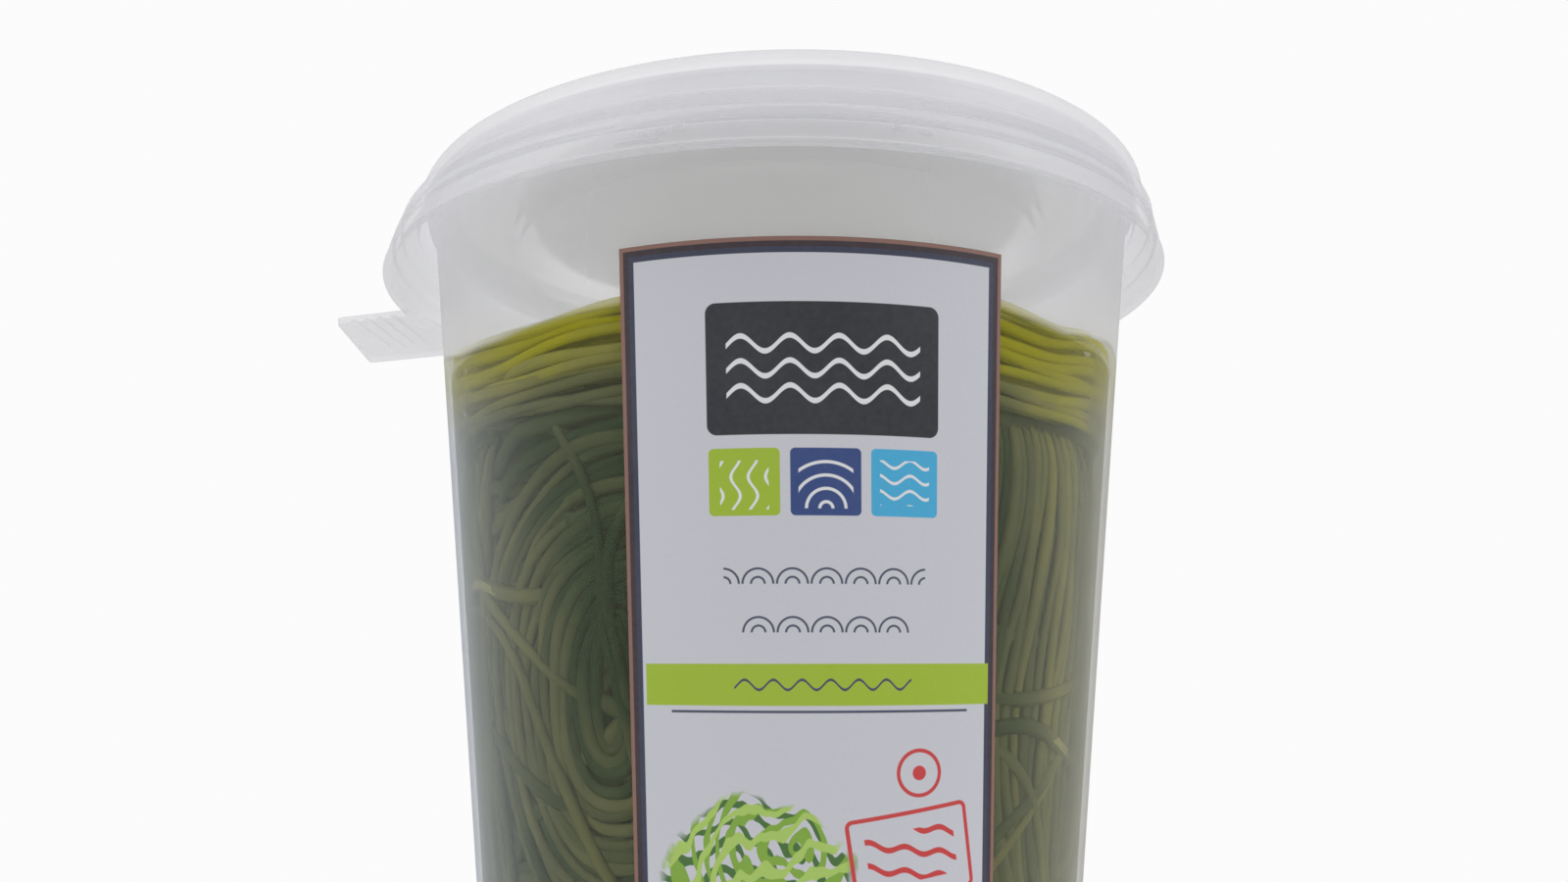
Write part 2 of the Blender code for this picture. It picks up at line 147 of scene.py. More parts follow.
# How far the packed strands stand above the fill level at the wall, by angle from the front
HEAP = (
    (-180, 0.0010), (-140, 0.0004), (-105, 0.0022), (-80, 0.0027), (-68, 0.0018), (-58, 0.0002),
    (-45, -0.0004), (-22, 0.0004), (0, 0.0009), (28, 0.0012), (38, 0.0002), (46, -0.0003),
    (54, 0.0006), (64, 0.0014), (76, 0.0002), (100, -0.0006), (135, 0.0012), (160, 0.0016),
    (180, 0.0010),
)
HEAP_SPAN = 0.008

# Shape of one strand: flatness, waves along it as (length over 2 pi, height), and its ends
STRAND_FLATNESS = 0.55
SWAY_WAVES = ((0.0058, 1.0), (0.0031, 0.6))
DIVE_WAVES = ((0.0074, 1.0), (0.0036, 0.5))
WIDTH_WAVES = ((0.0091, 0.14),)
WIDTH_RANGE = (0.86, 1.12)
END_DIVE = 0.0016
END_DIVE_LENGTH = 0.0022
END_NARROWING = 0.45
END_NARROWING_LENGTH = 0.0015

# Routes of the strands
STRAND_OVERLAP = 0.004
ALONG_STEP = 0.002
ROUTE_POINTS = 41
FEWEST_POINTS = 9
TURN_POINTS = 64
INNERMOST_TURN = 0.0012
UPRIGHT_SWAY = 0.0022

# Each kind of strand: wander sideways and inwards, shortest and longest cut, and tones
WALL_WANDER = (0.0003, 0.00018)
WALL_CUT = (0.06, 0.15)
WALL_TONE = 0.42
WALL_SINK = (0.0002, 0.0008)
LOOSE_STRANDS = 70
LOOSE_WANDER = (0.0003, 0.0001)
LOOSE_REACH = (0.035, 0.085)
BEHIND_WANDER = (0.0004, 0.0004)
BEHIND_CUT = (0.07, 0.18)
BEHIND_TONES = (0.0, 0.55)
BEHIND_STEP = 1.9
ROWS_BEHIND = 46
ROW_RISE = 0.0019
BEHIND_DEPTH = 0.0015
BEHIND_WIDTH = 1.3
CORE_DEPTH = 0.0027
CORE_DROP = 0.0012
TOP_ROWS = 9
TOP_WIDTH = 0.85
# Depth and sideways wander of each layer of the top strands
TOP_LAYERS = ((0.0, 0.00022), (-0.0013, 0.0005), (-0.0023, 0.0004))
TOP_MARGIN = 0.0004
TOP_SINK = 0.0002
TOP_CUT = (0.05, 0.13)
TOP_SWING = 0.45
LEVEL_STRANDS = 26
LEVEL_WANDER = (0.0003, 0.0004)
LEVEL_TONES = (0.2, 0.95)
LEVEL_REACH = 0.0024
LEVEL_BEND = 1.25
# Turn of the start and depth of each spiral of strands under the surface
SPIRALS = ((0.0, -0.0014), (1.3, -0.0026))
SPIRAL_TURNS = 12
SPIRAL_PITCH = 0.0026
SPIRAL_CUT = (0.06, 0.14)
SPIRAL_TONES = (0.0, 0.8)

# Patches on the wall: angle and height of the middle, half widths of both, tone added; most are tone, some
# paint shade and highlight
PATCHES_OF_TONE_SHADE_AND_SHEEN = (
    # Painted shade: the dark patch just left of the label
    (-26, 0.073, 9, 0.015, -1.0),
    (-38, 0.050, 8, 0.022, -0.16),
    # Painted highlight: the light band towards the +X outline
    (53, 0.072, 6.5, 0.034, 0.95),
    (42, 0.0975, 13, 0.008, 0.7),
    (35, 0.080, 6, 0.022, -0.35),
    (66, 0.060, 10, 0.045, 0.20),
    (-60, 0.085, 14, 0.016, 0.22),
    (150, 0.060, 24, 0.030, -0.20),
    (-120, 0.050, 20, 0.030, 0.15),
)

ROUND_STEPS = 144
CORE_STEPS = 72
MILLIMETRES = 1000.0

# Materials: soft edge of printed lines in millimetres, and how milky and glossy the outline turns
LINE_BLUR = 0.08
VEIL_MOST = 0.97
VEIL_POWER = 3.0
SCHLICK_POWER = 5.0
WHITE = (1.0, 1.0, 1.0)


def length(name, description, default):
    """A property that holds a length."""
    return bpy.props.FloatProperty(
        name=name, description=description, default=default, unit="LENGTH", precision=5)


def share(name, description, default):
    """A property that holds a share from 0 to 1."""
    return bpy.props.FloatProperty(
        name=name, description=description, default=default, min=0.0, max=1.0, subtype="FACTOR")


def amount(name, description, default):
    """A property that holds a plain number."""
    return bpy.props.FloatProperty(name=name, description=description, default=default)


def angle(name, description, degrees):
    """A property that holds an angle."""
    return bpy.props.FloatProperty(
        name=name, description=description, default=math.radians(degrees), subtype="ANGLE")


def colour(name, description, default):
    """A property that holds a colour."""
    return bpy.props.FloatVectorProperty(
        name=name, description=description, default=default, size=3, min=0.0, max=1.0, subtype="COLOR")


class SPAGHETTI_PG_plastic(bpy.types.PropertyGroup):
    """The moulded tub and its lid."""

    tub_colour: colour("Tub colour", "Colour of the milky tub", (0.93, 0.93, 0.965))
    lid_colour: colour("Lid colour", "Colour of the milky lid", (0.88, 0.88, 0.92))
    # Painted light: the cool and warm veils tint the wet wall's outline by side, cooler towards -X and
    # warmer towards +X
    cool_painted_light_veil: colour("Cool veil", "Wet wall looked at along its face, towards -X", (0.76, 0.81, 0.96))
    warm_painted_light_veil: colour("Warm veil", "Wet wall looked at along its face, towards +X", (0.73, 0.71, 0.66))
    # Painted light: the wet wall before the upper strands takes on their yellow
    yellow_light_veil: colour("Yellow veil", "Wet wall before the yellow strands", (0.50, 0.47, 0.16))
    # Painted shade: a dark line on the wall where the water meets it
    water_line_shade: colour("Rim line", "Line on the wall at the edge of the wet part", (0.16, 0.18, 0.11))
    dry_haze: share("Dry haze", "Light scattered by one dry face of the wall, seen squarely", 0.205)
    wet_haze: share("Wet haze", "Light scattered by the wet wall, seen squarely", 0.012)
    lid_haze: share("Lid haze", "Light scattered by one face of the lid, seen squarely", 0.22)
    frosted_haze: share("Frosted haze", "Light scattered by one face of the lid's middle panel", 0.40)
    roughness: share("Roughness", "Roughness of the plastic's gloss", 0.4)


class SPAGHETTI_PG_label(bpy.types.PropertyGroup):
    """The printed label on the front."""

    top: length("Top", "Height of the label's upper edge", 0.1078)
    bottom: length("Bottom", "Height of the label's lower edge", 0.010)
    width: length("Width", "Width of the label's head along the wall", 0.0394)
    narrowing: amount("Narrowing", "Share of the width lost for each metre down", 0.34)
    centre: angle("Centre", "Angle of the head's middle from the front", 5.1)
    lean: amount("Lean", "How far the label leans to +X for each metre down", 0.0165)
    thickness: length("Thickness", "Thickness of the label with its glue", 0.0004)
    # Painted shade: the paper is grey-blue, darker than white paper, standing in for the label lying in
    # shade
    paper: colour("Paper", "Colour of the unprinted paper", (0.62, 0.625, 0.68))
    outer_border: colour("Outer border", "Outermost line of the border", (0.26, 0.13, 0.10))
    middle_border: colour("Middle border", "Middle line of the border", (0.030, 0.014, 0.022))
    inner_border: colour("Inner border", "Innermost line of the border", (0.028, 0.034, 0.075))
    dark_ink: colour("Dark ink", "Colour of the dark panel", (0.012, 0.014, 0.022))
    slate_ink: colour("Slate ink", "Colour of the fine ornaments", (0.05, 0.06, 0.11))
    lime_ink: colour("Lime ink", "Colour of the band", (0.36, 0.52, 0.012))
    sky_ink: colour("Sky ink", "Colour of the light blue tile", (0.04, 0.42, 0.72))
    navy_ink: colour("Navy ink", "Colour of the dark blue tile", (0.012, 0.05, 0.22))
    red_ink: colour("Red ink", "Colour of the ring and frame", (0.62, 0.03, 0.03))
    leaf_ink: colour("Leaf ink", "Colour of most printed strands", (0.22, 0.42, 0.03))
    dark_leaf_ink: colour("Dark leaf ink", "Darkest printed strands", (0.05, 0.16, 0.02))
    light_leaf_ink: colour("Light leaf ink", "Lightest printed strands", (0.42, 0.62, 0.12))
    white_ink: colour("White ink", "Lines on the panel and tiles", (0.80, 0.81, 0.83))
    dust: colour("Dust", "Faint wear on the print", (0.55, 0.56, 0.58))


class SPAGHETTI_PG_seaweed(bpy.types.PropertyGroup):
    """The strands and the sea water."""

    strand_width: length("Strand width", "Width of one strand", 0.0016)
    strand_pitch: length("Strand pitch", "Distance between neighbouring strands", 0.00135)
    strand_step: length("Strand step", "Distance between two sections of a strand", 0.0015)
    fill_level: length("Fill level", "Height of the sea water", 0.1023)
    dark_green: colour("Dark green", "Darkest strands", (0.024, 0.058, 0.022))
    mid_green: colour("Middle green", "Most strands", (0.160, 0.170, 0.082))
    olive: colour("Olive", "Lightest strands", (0.36, 0.34, 0.10))
    yellow: colour("Yellow", "Strands on top", (0.52, 0.48, 0.005))
    water: colour("Sea water", "Colour of the cloudy water", (0.14, 0.155, 0.085))
    upper_water: colour("Upper water", "Water between the upper strands", (0.21, 0.20, 0.008))
    cloudiness: share("Cloudiness", "Light scattered by the water at the wall", 0.21)
    seed: bpy.props.IntProperty(name="Seed", description="Start of the random draws", default=7)


class SPAGHETTI_PG_stage(bpy.types.PropertyGroup):
    """The floor, the lights and the camera."""

    floor_colour: colour("Floor", "Colour of the pale floor", (0.86, 0.86, 0.86))
    backdrop: amount("Backdrop", "Brightness of the plain backdrop", 0.97)
    surround: amount("Surround", "Brightness of the soft light from all round", 0.67)
    mirrored: amount("Mirrored", "Brightness of the surroundings in reflections", 0.45)
    side_light: amount("Side lights", "Strength of each of the two soft side lights", 0.9)
    light_tilt: angle("Light tilt", "Turn of the side lights from straight down", 48.0)
    light_breadth: angle("Light breadth", "Breadth of each side light, which softens it", 35.0)
    camera_distance: length("Camera distance", "Distance of the camera from the tub's axis", 0.156)
    camera_height: length("Camera height", "Height of the camera", 0.06706)
    camera_yaw: angle("Camera turn", "Turn of the camera towards -X", 2.8)
    lens: amount("Lens", "Focal length in millimetres", 26.3)
    shift_x: amount("Shift across", "Sideways shift of the picture", 0.041)
    shift_y: amount("Shift up", "Upward shift of the picture", 0.137)


GROUPS = {
    "spaghetti_plastic": SPAGHETTI_PG_plastic,
    "spaghetti_label": SPAGHETTI_PG_label,
    "spaghetti_seaweed": SPAGHETTI_PG_seaweed,
    "spaghetti_stage": SPAGHETTI_PG_stage,
}


class Wire:
    """A shader socket that sums and products can be written with."""

    def __init__(self, finish, socket):
        self.finish = finish
        self.socket = socket

    def maths(self, operation, *values):
        """A Math node on this socket and further values."""
        return self.finish.maths(operation, self, *values)

    def __add__(self, other):
        return self.maths("ADD", other)

    def __sub__(self, other):
        return self.maths("SUBTRACT", other)

    def __rsub__(self, other):
        return self.finish.maths("SUBTRACT", other, self)

    def __mul__(self, other):
        return self.maths("MULTIPLY", other)

    def __truediv__(self, other):
        return self.maths("DIVIDE", other)

    def __rtruediv__(self, other):
        return self.finish.maths("DIVIDE", other, self)

    def __pow__(self, other):
        return self.maths("POWER", other)

    def __rpow__(self, other):
        return self.finish.maths("POWER", other, self)

    def __abs__(self):
        return self.maths("ABSOLUTE")

    __radd__ = __add__
    __rmul__ = __mul__

    def sine(self):
        """Sine of this angle in radians."""
        return self.maths("SINE")

    def angle_from(self, other):
        """Angle whose tangent is this over another value."""
        return self.maths("ARCTAN2", other)

    def fraction(self):
        """What is over the whole number below."""
        return self.maths("FRACT")

    def at_least(self, other):
        """The larger of two values."""
        return self.maths("MAXIMUM", other)

    def at_most(self, other):
        """The smaller of two values."""
        return self.maths("MINIMUM", other)

    def below(self, limit, blur):
        """1 where this is under the limit and 0 above it, with an edge as wide as blur."""
        return self.finish.node("ShaderNodeMapRange", {"clamp": True}, {
            "Value": self, "From Min": limit - blur / 2, "From Max": limit + blur / 2,
            "To Min": 1.0, "To Max": 0.0})


class Finish:
    """A material, or the light of the world, under construction."""

    def __init__(self, name, kind="materials"):
        self.made = getattr(bpy.data, kind).new(name)
        self.made.use_nodes = True
        self.tree = self.made.node_tree
        self.tree.nodes.clear()

    def node(self, kind, settings=None, sockets=None, output=0):
        """Add a node: its settings first, then the values or links of its sockets."""
        made = self.tree.nodes.new(kind)
        for name, value in (settings or {}).items():
            setattr(made, name, value)
        for name, value in (sockets or {}).items():
            socket = made.inputs[name]
            if isinstance(value, Wire):
                self.tree.links.new(value.socket, socket)
            elif socket.type == "RGBA":
                socket.default_value = (*value, 1.0)
            else:
                socket.default_value = value
        return Wire(self, made.outputs[output])

    def maths(self, operation, *values):
        """A Math node on values or sockets."""
        return self.node("ShaderNodeMath", {"operation": operation}, dict(enumerate(values)))

    def blend(self, factor, first, second):
        """Mix two colours."""
        return self.node("ShaderNodeMix", {"data_type": "RGBA"}, {0: factor, 6: first, 7: second}, 2)

    def ramp(self, factor, stops):
        """A colour ramp of (place, colour) stops."""
        made = self.tree.nodes.new("ShaderNodeValToRGB")
        elements = made.color_ramp.elements
        while len(elements) < len(stops):
            elements.new(0.5)
        for element, (place, tint) in zip(elements, stops):
            element.position = place
            element.color = (*tint, 1.0)
        self.tree.links.new(factor.socket, made.inputs[0])
        return Wire(self, made.outputs[0])

    def place(self, output="Object"):
        """Coordinates on the piece."""
        return self.node("ShaderNodeTexCoord", None, None, output)

    def grey(self, tint):
        """A grey colour's value as a number."""
        return self.node("ShaderNodeSeparateColor", None, {0: tint})

    def split(self, vector):
        """The three parts of a vector."""
        made = self.node("ShaderNodeSeparateXYZ", None, {0: vector})
        return [Wire(self, socket) for socket in made.socket.node.outputs]

    def stretched(self, vector, scale):
        """Coordinates scaled by three factors."""
        return self.node("ShaderNodeMapping", None, {"Vector": vector, "Scale": scale})

    def attribute(self, name):
        """A number kept at the piece's points."""
        return self.node("ShaderNodeAttribute", {"attribute_name": name}, None, "Fac")

    def facing(self):
        """0 where the face is looked at squarely, up to 1 where it is looked at along."""
        return self.node("ShaderNodeLayerWeight", None, {"Blend": 0.5}, "Facing")

    def noise(self, vector, scale, detail=2.0, roughness=0.5):
        """Soft noise from 0 to 1."""
        return self.node("ShaderNodeTexNoise", None, {
            "Vector": vector, "Scale": scale, "Detail": detail, "Roughness": roughness,
            "Distortion": 0.0})

    def bump(self, height, distance):
        """A normal bent by a height, in metres of its distance."""
        return self.node("ShaderNodeBump", None, {
            "Height": height, "Distance": distance, "Strength": 1.0})

    def mix(self, factor, first, second):
        """Mix two shaders."""
        return self.node("ShaderNodeMixShader", None, {0: factor, 1: first, 2: second})

    def done(self, shader, output="ShaderNodeOutputMaterial"):
        """Link a shader to the output."""
        last = self.tree.nodes.new(output)
        self.tree.links.new(shader.socket, last.inputs["Surface"])
        return self.made


def from_axis(x, y):
    """Distance of the point (x, y) from the origin, as a Wire."""
    return (x ** 2.0 + y ** 2.0) ** 0.5


def scattering(facing, haze, thinnest):
    """Share of light that a hazy layer scatters, more where it is looked at along its face."""
    return 1.0 - (1.0 - haze) ** (1.0 / (1.0 - facing).at_least(thinnest))


def reflection(facing, squarely, along):
    """Share of light that a gloss reflects, squarely and added along its face."""
    return squarely + along * facing ** SCHLICK_POWER


def milky_plastic(name, tint, haze, thinnest, settings, ripple, gloss_share, wet_of=None, frosted_of=None):
    """Translucent moulded plastic, whose haze thickens where it is looked at along its face.

    wet_of gives a mask of the wet part, a mask of the wall's outer face and the veil's colour.
    frosted_of gives the haze that a frosted part adds.
    """
    finish = Finish(name)
    place = finish.place()
    if frosted_of:
        haze = haze + frosted_of(finish, place)
    facing = finish.facing()
    streaks = finish.noise(finish.stretched(place, (1.0, 1.0, 0.16)), 160.0, 3.0, 0.55)
    clouds = finish.noise(place, 38.0)
    scattered = scattering(facing, haze * (0.86 + 0.28 * clouds), thinnest)
    shade = finish.blend(streaks, [0.95 * part for part in tint], tint)
    reflected = gloss_share * reflection(facing, 0.03, 0.6)
    if wet_of:
        wet, outer, veil = wet_of(finish, place, clouds)
        veiled = settings.wet_haze + (VEIL_MOST - settings.wet_haze) * facing ** VEIL_POWER
        scattered = scattered + (veiled * outer - scattered) * wet
        shade = finish.blend(wet, shade, veil)
        reflected = reflected * (1.0 - 0.6 * wet) * outer
    relief = finish.bump(finish.noise(place, 900.0, 1.0) * 0.3 + clouds * 1.6, ripple)
    body = finish.node("ShaderNodeBsdfPrincipled", None, {
        "Base Color": shade, "Roughness": 0.45, "Specular IOR Level": 0.15, "Normal": relief})
    through = finish.node("ShaderNodeBsdfTranslucent", None, {"Color": tint})
    solid = finish.mix(0.32, body, through)
    clear = finish.node("ShaderNodeBsdfTransparent", None, {"Color": (0.995, 0.995, 0.995)})
    wall = finish.mix(scattered, clear, solid)
    gloss = finish.node("ShaderNodeBsdfGlossy", None, {
        "Color": WHITE, "Roughness": settings.roughness, "Normal": relief})
    return finish.done(finish.mix(reflected, wall, gloss))


def tub_plastic(settings, fill_level):
    """Plastic of the tub: clear where the contents wet it inside, and milky above them."""
    def wet_of(finish, place, clouds):
        """Masks of the wet part and of the outer face, and the veil's colour, with its painted light and
        painted shade.
        """
        x, y, height = finish.split(place)
        turn = x.angle_from(0.0 - y) / (2 * math.pi) + 0.5
        lift = finish.ramp(turn, [
            (degrees / 360 + 0.5, (rise / HEAP_SPAN + 0.5,) * 3) for degrees, rise in HEAP])
        edge = fill_level - 0.0001 + (finish.grey(lift) - 0.5) * HEAP_SPAN
        over = height - edge + 0.0006 * (clouds - 0.5)
        wet = over.below(0.0, 0.0006)
        middle_of_wall = wall_radius(0.0) - WALL_THICKNESS / 2
        outer = 1.0 - (from_axis(x, y) - WALL_TAPER * height).below(middle_of_wall, 0.0001)
        # Painted light: the veil turns from cool on the -X side to warm on the +X side
        side = (0.5 + x * 16.0).at_least(0.0).at_most(1.0)
        veil = finish.blend(side, settings.cool_painted_light_veil, settings.warm_painted_light_veil)
        # Painted light: the top few millimetres of the wet wall are tinted yellow, as if lit from the
        # strands behind
        yellow_light_share = 0.55 - 0.55 * height.below(fill_level - 0.005, 0.006)
        veil = finish.blend(yellow_light_share, veil, settings.yellow_light_veil)
        # Painted shade: a thin dark line along the water's edge on the wall
        water_line_shade = abs(over).below(0.0004, 0.0005)
        return wet, outer, finish.blend(0.7 * water_line_shade, veil, settings.water_line_shade)
    return milky_plastic(
        "milky tub plastic", settings.tub_colour, settings.dry_haze, 0.14, settings, 0.00006, 1.0, wet_of)


def lid_plastic(settings):
    """Plastic of the lid, frosted on its raised middle panel."""
    def frosted_of(finish, place):
        """Haze that the middle panel has beyond the rest of the lid."""
        x, y, height = finish.split(place)
        middle = from_axis(x, y).below(PANEL_STEP_RADIUS - 0.002, 0.0006)
        raised = 1.0 - height.below(PANEL_TOP + 0.7 * PANEL_STEP, 0.0004)
        return (settings.frosted_haze - settings.lid_haze) * middle * raised
    return milky_plastic(
        "milky lid plastic", settings.lid_colour, settings.lid_haze, 0.4, settings, 0.00010, 0.4,
        frosted_of=frosted_of)


def wet_seaweed(name, stops, base_tone):
    """Wet seaweed skin, with a tone for each strand and soft mottling along it."""
    finish = Finish(name)
    place = finish.place()
    patches = finish.noise(place, 48.0, 3.0, 0.55)
    speckle = finish.noise(place, 420.0)
    mottle = (finish.attribute("along") * 210.0 + patches * 9.0).sine()
    level = base_tone + 0.62 * finish.attribute("tone") + 0.55 * (patches - 0.5)
    skin = finish.ramp(level + 0.10 * (speckle - 0.5) + 0.05 * mottle, stops)
    return finish.done(finish.node("ShaderNodeBsdfPrincipled", None, {
        "Base Color": skin, "Roughness": 0.5, "Specular IOR Level": 0.08, "Coat Weight": 0.03,
        "Coat Roughness": 0.25, "Normal": finish.bump(speckle, 0.00010)}))


def cloudy_water(settings):
    """Sea water with a little haze at the wall and a glossy level surface."""
    finish = Finish("cloudy sea water")
    place = finish.place()
    facing = finish.facing()
    clouds = finish.noise(place, 45.0, 3.0, 0.55)
    height = finish.split(place)[2]
    on_top = 1.0 - height.below(settings.fill_level - 0.0004, 0.0003)
    haze = settings.cloudiness * (0.6 + 0.8 * clouds)
    scattered = scattering(facing, haze, 0.2) * (1.0 - 0.6 * on_top)
    clear = finish.node("ShaderNodeBsdfTransparent", None, {"Color": (0.975, 0.985, 0.93)})
    deep = height.below(settings.fill_level - 0.006, 0.006)
    murk = finish.node("ShaderNodeBsdfPrincipled", None, {
        "Base Color": finish.blend(deep, settings.upper_water, settings.water), "Roughness": 1.0,
        "Specular IOR Level": 0.0})
    gloss = finish.node("ShaderNodeBsdfGlossy", None, {"Color": WHITE, "Roughness": 0.05})
    body = finish.mix(scattered, clear, murk)
    return finish.done(finish.mix(on_top * reflection(facing, 0.03, 0.9), body, gloss))


def printed_label(settings):
    """The label's print, drawn in millimetres from its upper left corner."""
    finish = Finish("printed label")
    across, upward, _ = finish.split(finish.place("UV"))
    width = settings.width * MILLIMETRES
    height = (settings.top - settings.bottom) * MILLIMETRES
    s = across * width
    t = (1.0 - upward) * height
    prints = []

    def box(x, y, half_width, half_height, corner=0.0, turn=0.0):
        """Distance outside a rounded box."""
        along, down = s - x, t - y
        if turn:
            cosine, sine = math.cos(turn), math.sin(turn)
            along, down = along * cosine + down * sine, down * cosine - along * sine
        over = abs(along) - (half_width - corner)
        under = abs(down) - (half_height - corner)
        outside = from_axis(over.at_least(0.0), under.at_least(0.0))
        return outside + over.at_least(under).at_most(0.0) - corner

    def disc(x, y):
        """Distance from a point."""
        return from_axis(s - x, t - y)

    def within(distance, reach=0.0):
        """1 up to a reach and 0 past it."""
        return distance.below(reach, LINE_BLUR)

    def lines(value, period, half_line):
        """Lines where a value passes each whole period."""
        return within(abs((value / period).fraction() - 0.5) * period, half_line)

    def ink(tint, mask):
        """Print a colour over what is there."""
        prints.append((tint, mask))

    edge = 0.0 - box(width / 2, height / 2, width / 2, height / 2)
    ink(settings.inner_border, within(edge, 1.55))
    ink(settings.middle_border, within(edge, 0.98))
    ink(settings.outer_border, within(edge, 0.42))

    # Dark panel with three waves
    ink(settings.dark_ink, within(box(20.4, 12.6, 11.6, 6.4, 1.0)))
    waves = lines(t - 9.0 + 0.75 * ((s - 11.0) * 1.31).sine(), 2.4, 0.26)
    ink(settings.white_ink, waves * within(box(20.4, 12.6, 9.6, 3.6)))

    # Row of three tiles
    for x, tint in ((12.4, settings.lime_ink), (20.4, settings.navy_ink), (28.4, settings.sky_ink)):
        ink(tint, within(box(x, 23.6, 3.5, 3.3, 0.5)))
    blades = lines(s - 12.4 + 0.45 * (t * 1.7).sine(), 1.7, 0.15)
    ink(settings.white_ink, blades * within(box(12.4, 23.9, 2.4, 2.4)))
    shells = lines(disc(20.4, 26.2), 1.3, 0.15)
    ink(settings.white_ink, shells * within(box(20.4, 23.7, 2.7, 2.5)))
    ripples = lines(t - 0.4 * (s * 1.9).sine(), 1.5, 0.15)
    ink(settings.white_ink, ripples * within(box(28.4, 23.6, 2.6, 2.2)))

    # Two rows of fine arches
    for row, half_row in ((33.6, 10.2), (38.4, 8.5)):
        aside = ((s - 20.4) / 3.4 + 0.5).fraction() * 3.4 - 1.7
        arches = within(abs(abs(from_axis(aside, t - row) - 1.1) - 0.42), 0.11)
        ink(settings.slate_ink, arches * within(box(20.4, row - 1.0, half_row, 1.0)))

    # Band with a fine wave, and a line under it
    ink(settings.lime_ink, within(box(20.1, 43.6, 18.2, 2.1)))
    wave = within(abs(t - 43.6 + 0.5 * (s * 2.2).sine()), 0.14)
    ink(settings.slate_ink, wave * within(box(20.1, 43.6, 9.0, 1.4)))
    ink(settings.slate_ink, within(box(20.1, 46.3, 15.5, 0.13)))

    # Loops of printed strands
    bent = (finish.noise(finish.place("UV"), 9.0) - 0.5) * 7.0
    heap = (box(13.0, 66.5, 9.5, 11.5, 9.0) + bent * 0.6).below(0.0, 0.6)
    for x, y, period, tint in (
            (7.0, 71.0, 2.3, settings.dark_leaf_ink), (17.0, 60.0, 2.0, settings.leaf_ink),
            (22.0, 74.0, 2.6, settings.light_leaf_ink)):
        ink(tint, lines(disc(x, y) + bent, period, 0.42) * heap)

    # Ring and tilted frame
    ink(settings.red_ink, within(abs(disc(30.0, 52.6) - 2.3), 0.2))
    ink(settings.red_ink, within(disc(30.0, 52.6), 0.75))
    ink(settings.red_ink, within(abs(box(29.3, 61.0, 6.6, 4.4, 0.6, -0.14)), 0.22))
    bars = lines(t - 0.14 * s + 0.3 * (s * 1.6).sine(), 2.4, 0.3)
    ink(settings.red_ink, bars * within(box(29.3, 61.0, 5.0, 2.7, 0.0, -0.14)))

    # Foot of the label
    ink(settings.slate_ink, within(box(20.1, 89.6, 15.5, 0.13)))
    ink(settings.slate_ink, lines(s - 0.4, 2.2, 0.45) * within(box(20.1, 91.8, 13.2, 1.0)))

    # Painted shade: the print starts from the grey-blue paper that stands in for the label in shade
    paper = settings.paper
    for tint, mask in prints:
        paper = finish.blend(mask, paper, tint)
    place = finish.place()
    fibre = finish.noise(place, 1400.0, 2.0, 0.6)
    dusty = finish.noise(place, 90.0)
    worn = finish.blend(0.05 * fibre + 0.04 * dusty, paper, settings.dust)
    return finish.done(finish.node("ShaderNodeBsdfPrincipled", None, {
        "Base Color": worn, "Roughness": 0.36 + 0.1 * dusty, "Specular IOR Level": 0.4,
        "Coat Weight": 0.25, "Coat Roughness": 0.2, "Normal": finish.bump(fibre, 0.00003)}))


def pale_floor(settings):
    """Plain floor that fades into the plain backdrop away from the tub."""
    finish = Finish("pale floor")
    x, y, _ = finish.split(finish.place())
    near = finish.node("ShaderNodeMapRange", {"interpolation_type": "SMOOTHERSTEP"}, {
        "Value": from_axis(x, y), "From Min": 0.06, "From Max": 0.17, "To Min": 1.0, "To Max": 0.0})
    grain = finish.noise(finish.place(), 40.0)
    tint = finish.blend(grain, [0.97 * part for part in settings.floor_colour], settings.floor_colour)
    board = finish.node("ShaderNodeBsdfPrincipled", None, {
        "Base Color": tint, "Roughness": 0.6, "Specular IOR Level": 0.2})
    return finish.done(finish.mix(near, finish.node("ShaderNodeBsdfTransparent"), board))


def plain_backdrop(settings):
    """Light from all round, with its own brightness for reflections and for the backdrop."""
    finish = Finish("plain backdrop", "worlds")
    bright = settings.surround
    for ray, level in (("Is Glossy Ray", settings.mirrored), ("Is Camera Ray", settings.backdrop)):
        seen = finish.node("ShaderNodeLightPath", None, None, ray)
        bright = finish.node("ShaderNodeMix", {"data_type": "FLOAT"}, {0: seen, 2: bright, 3: level})
    light = finish.node("ShaderNodeBackground", None, {"Color": WHITE, "Strength": bright})
    return finish.done(light, "ShaderNodeOutputWorld")


def pick_nothing():
    """Deselect every object."""
    if bpy.context.mode != "OBJECT":
        bpy.ops.object.mode_set(mode="OBJECT")
    bpy.ops.object.select_all(action="DESELECT")


def pick(*pieces):
    """Select pieces alone, the first one active."""
    pick_nothing()
    for piece in pieces:
        piece.select_set(True)
    bpy.context.view_layer.objects.active = pieces[0]


def edit_all(piece):
    """Open a piece in edit mode with all of it selected."""
    pick(piece)
    bpy.ops.object.mode_set(mode="EDIT")
    bpy.ops.mesh.select_all(action="SELECT")


def close_edit():
    """Turn all faces outwards and leave edit mode."""
    bpy.ops.mesh.select_all(action="SELECT")
    bpy.ops.mesh.normals_make_consistent(inside=False)
    bpy.ops.object.mode_set(mode="OBJECT")


def name_piece(name):
    """Name the object just added."""
    piece = bpy.context.object
    piece.name = name
    piece.data.name = name
    return piece


def smooth(piece, degrees=38.0):
    """Shade a piece smooth but for its sharp edges."""
    pick(piece)
    bpy.ops.object.shade_smooth_by_angle(angle=math.radians(degrees))


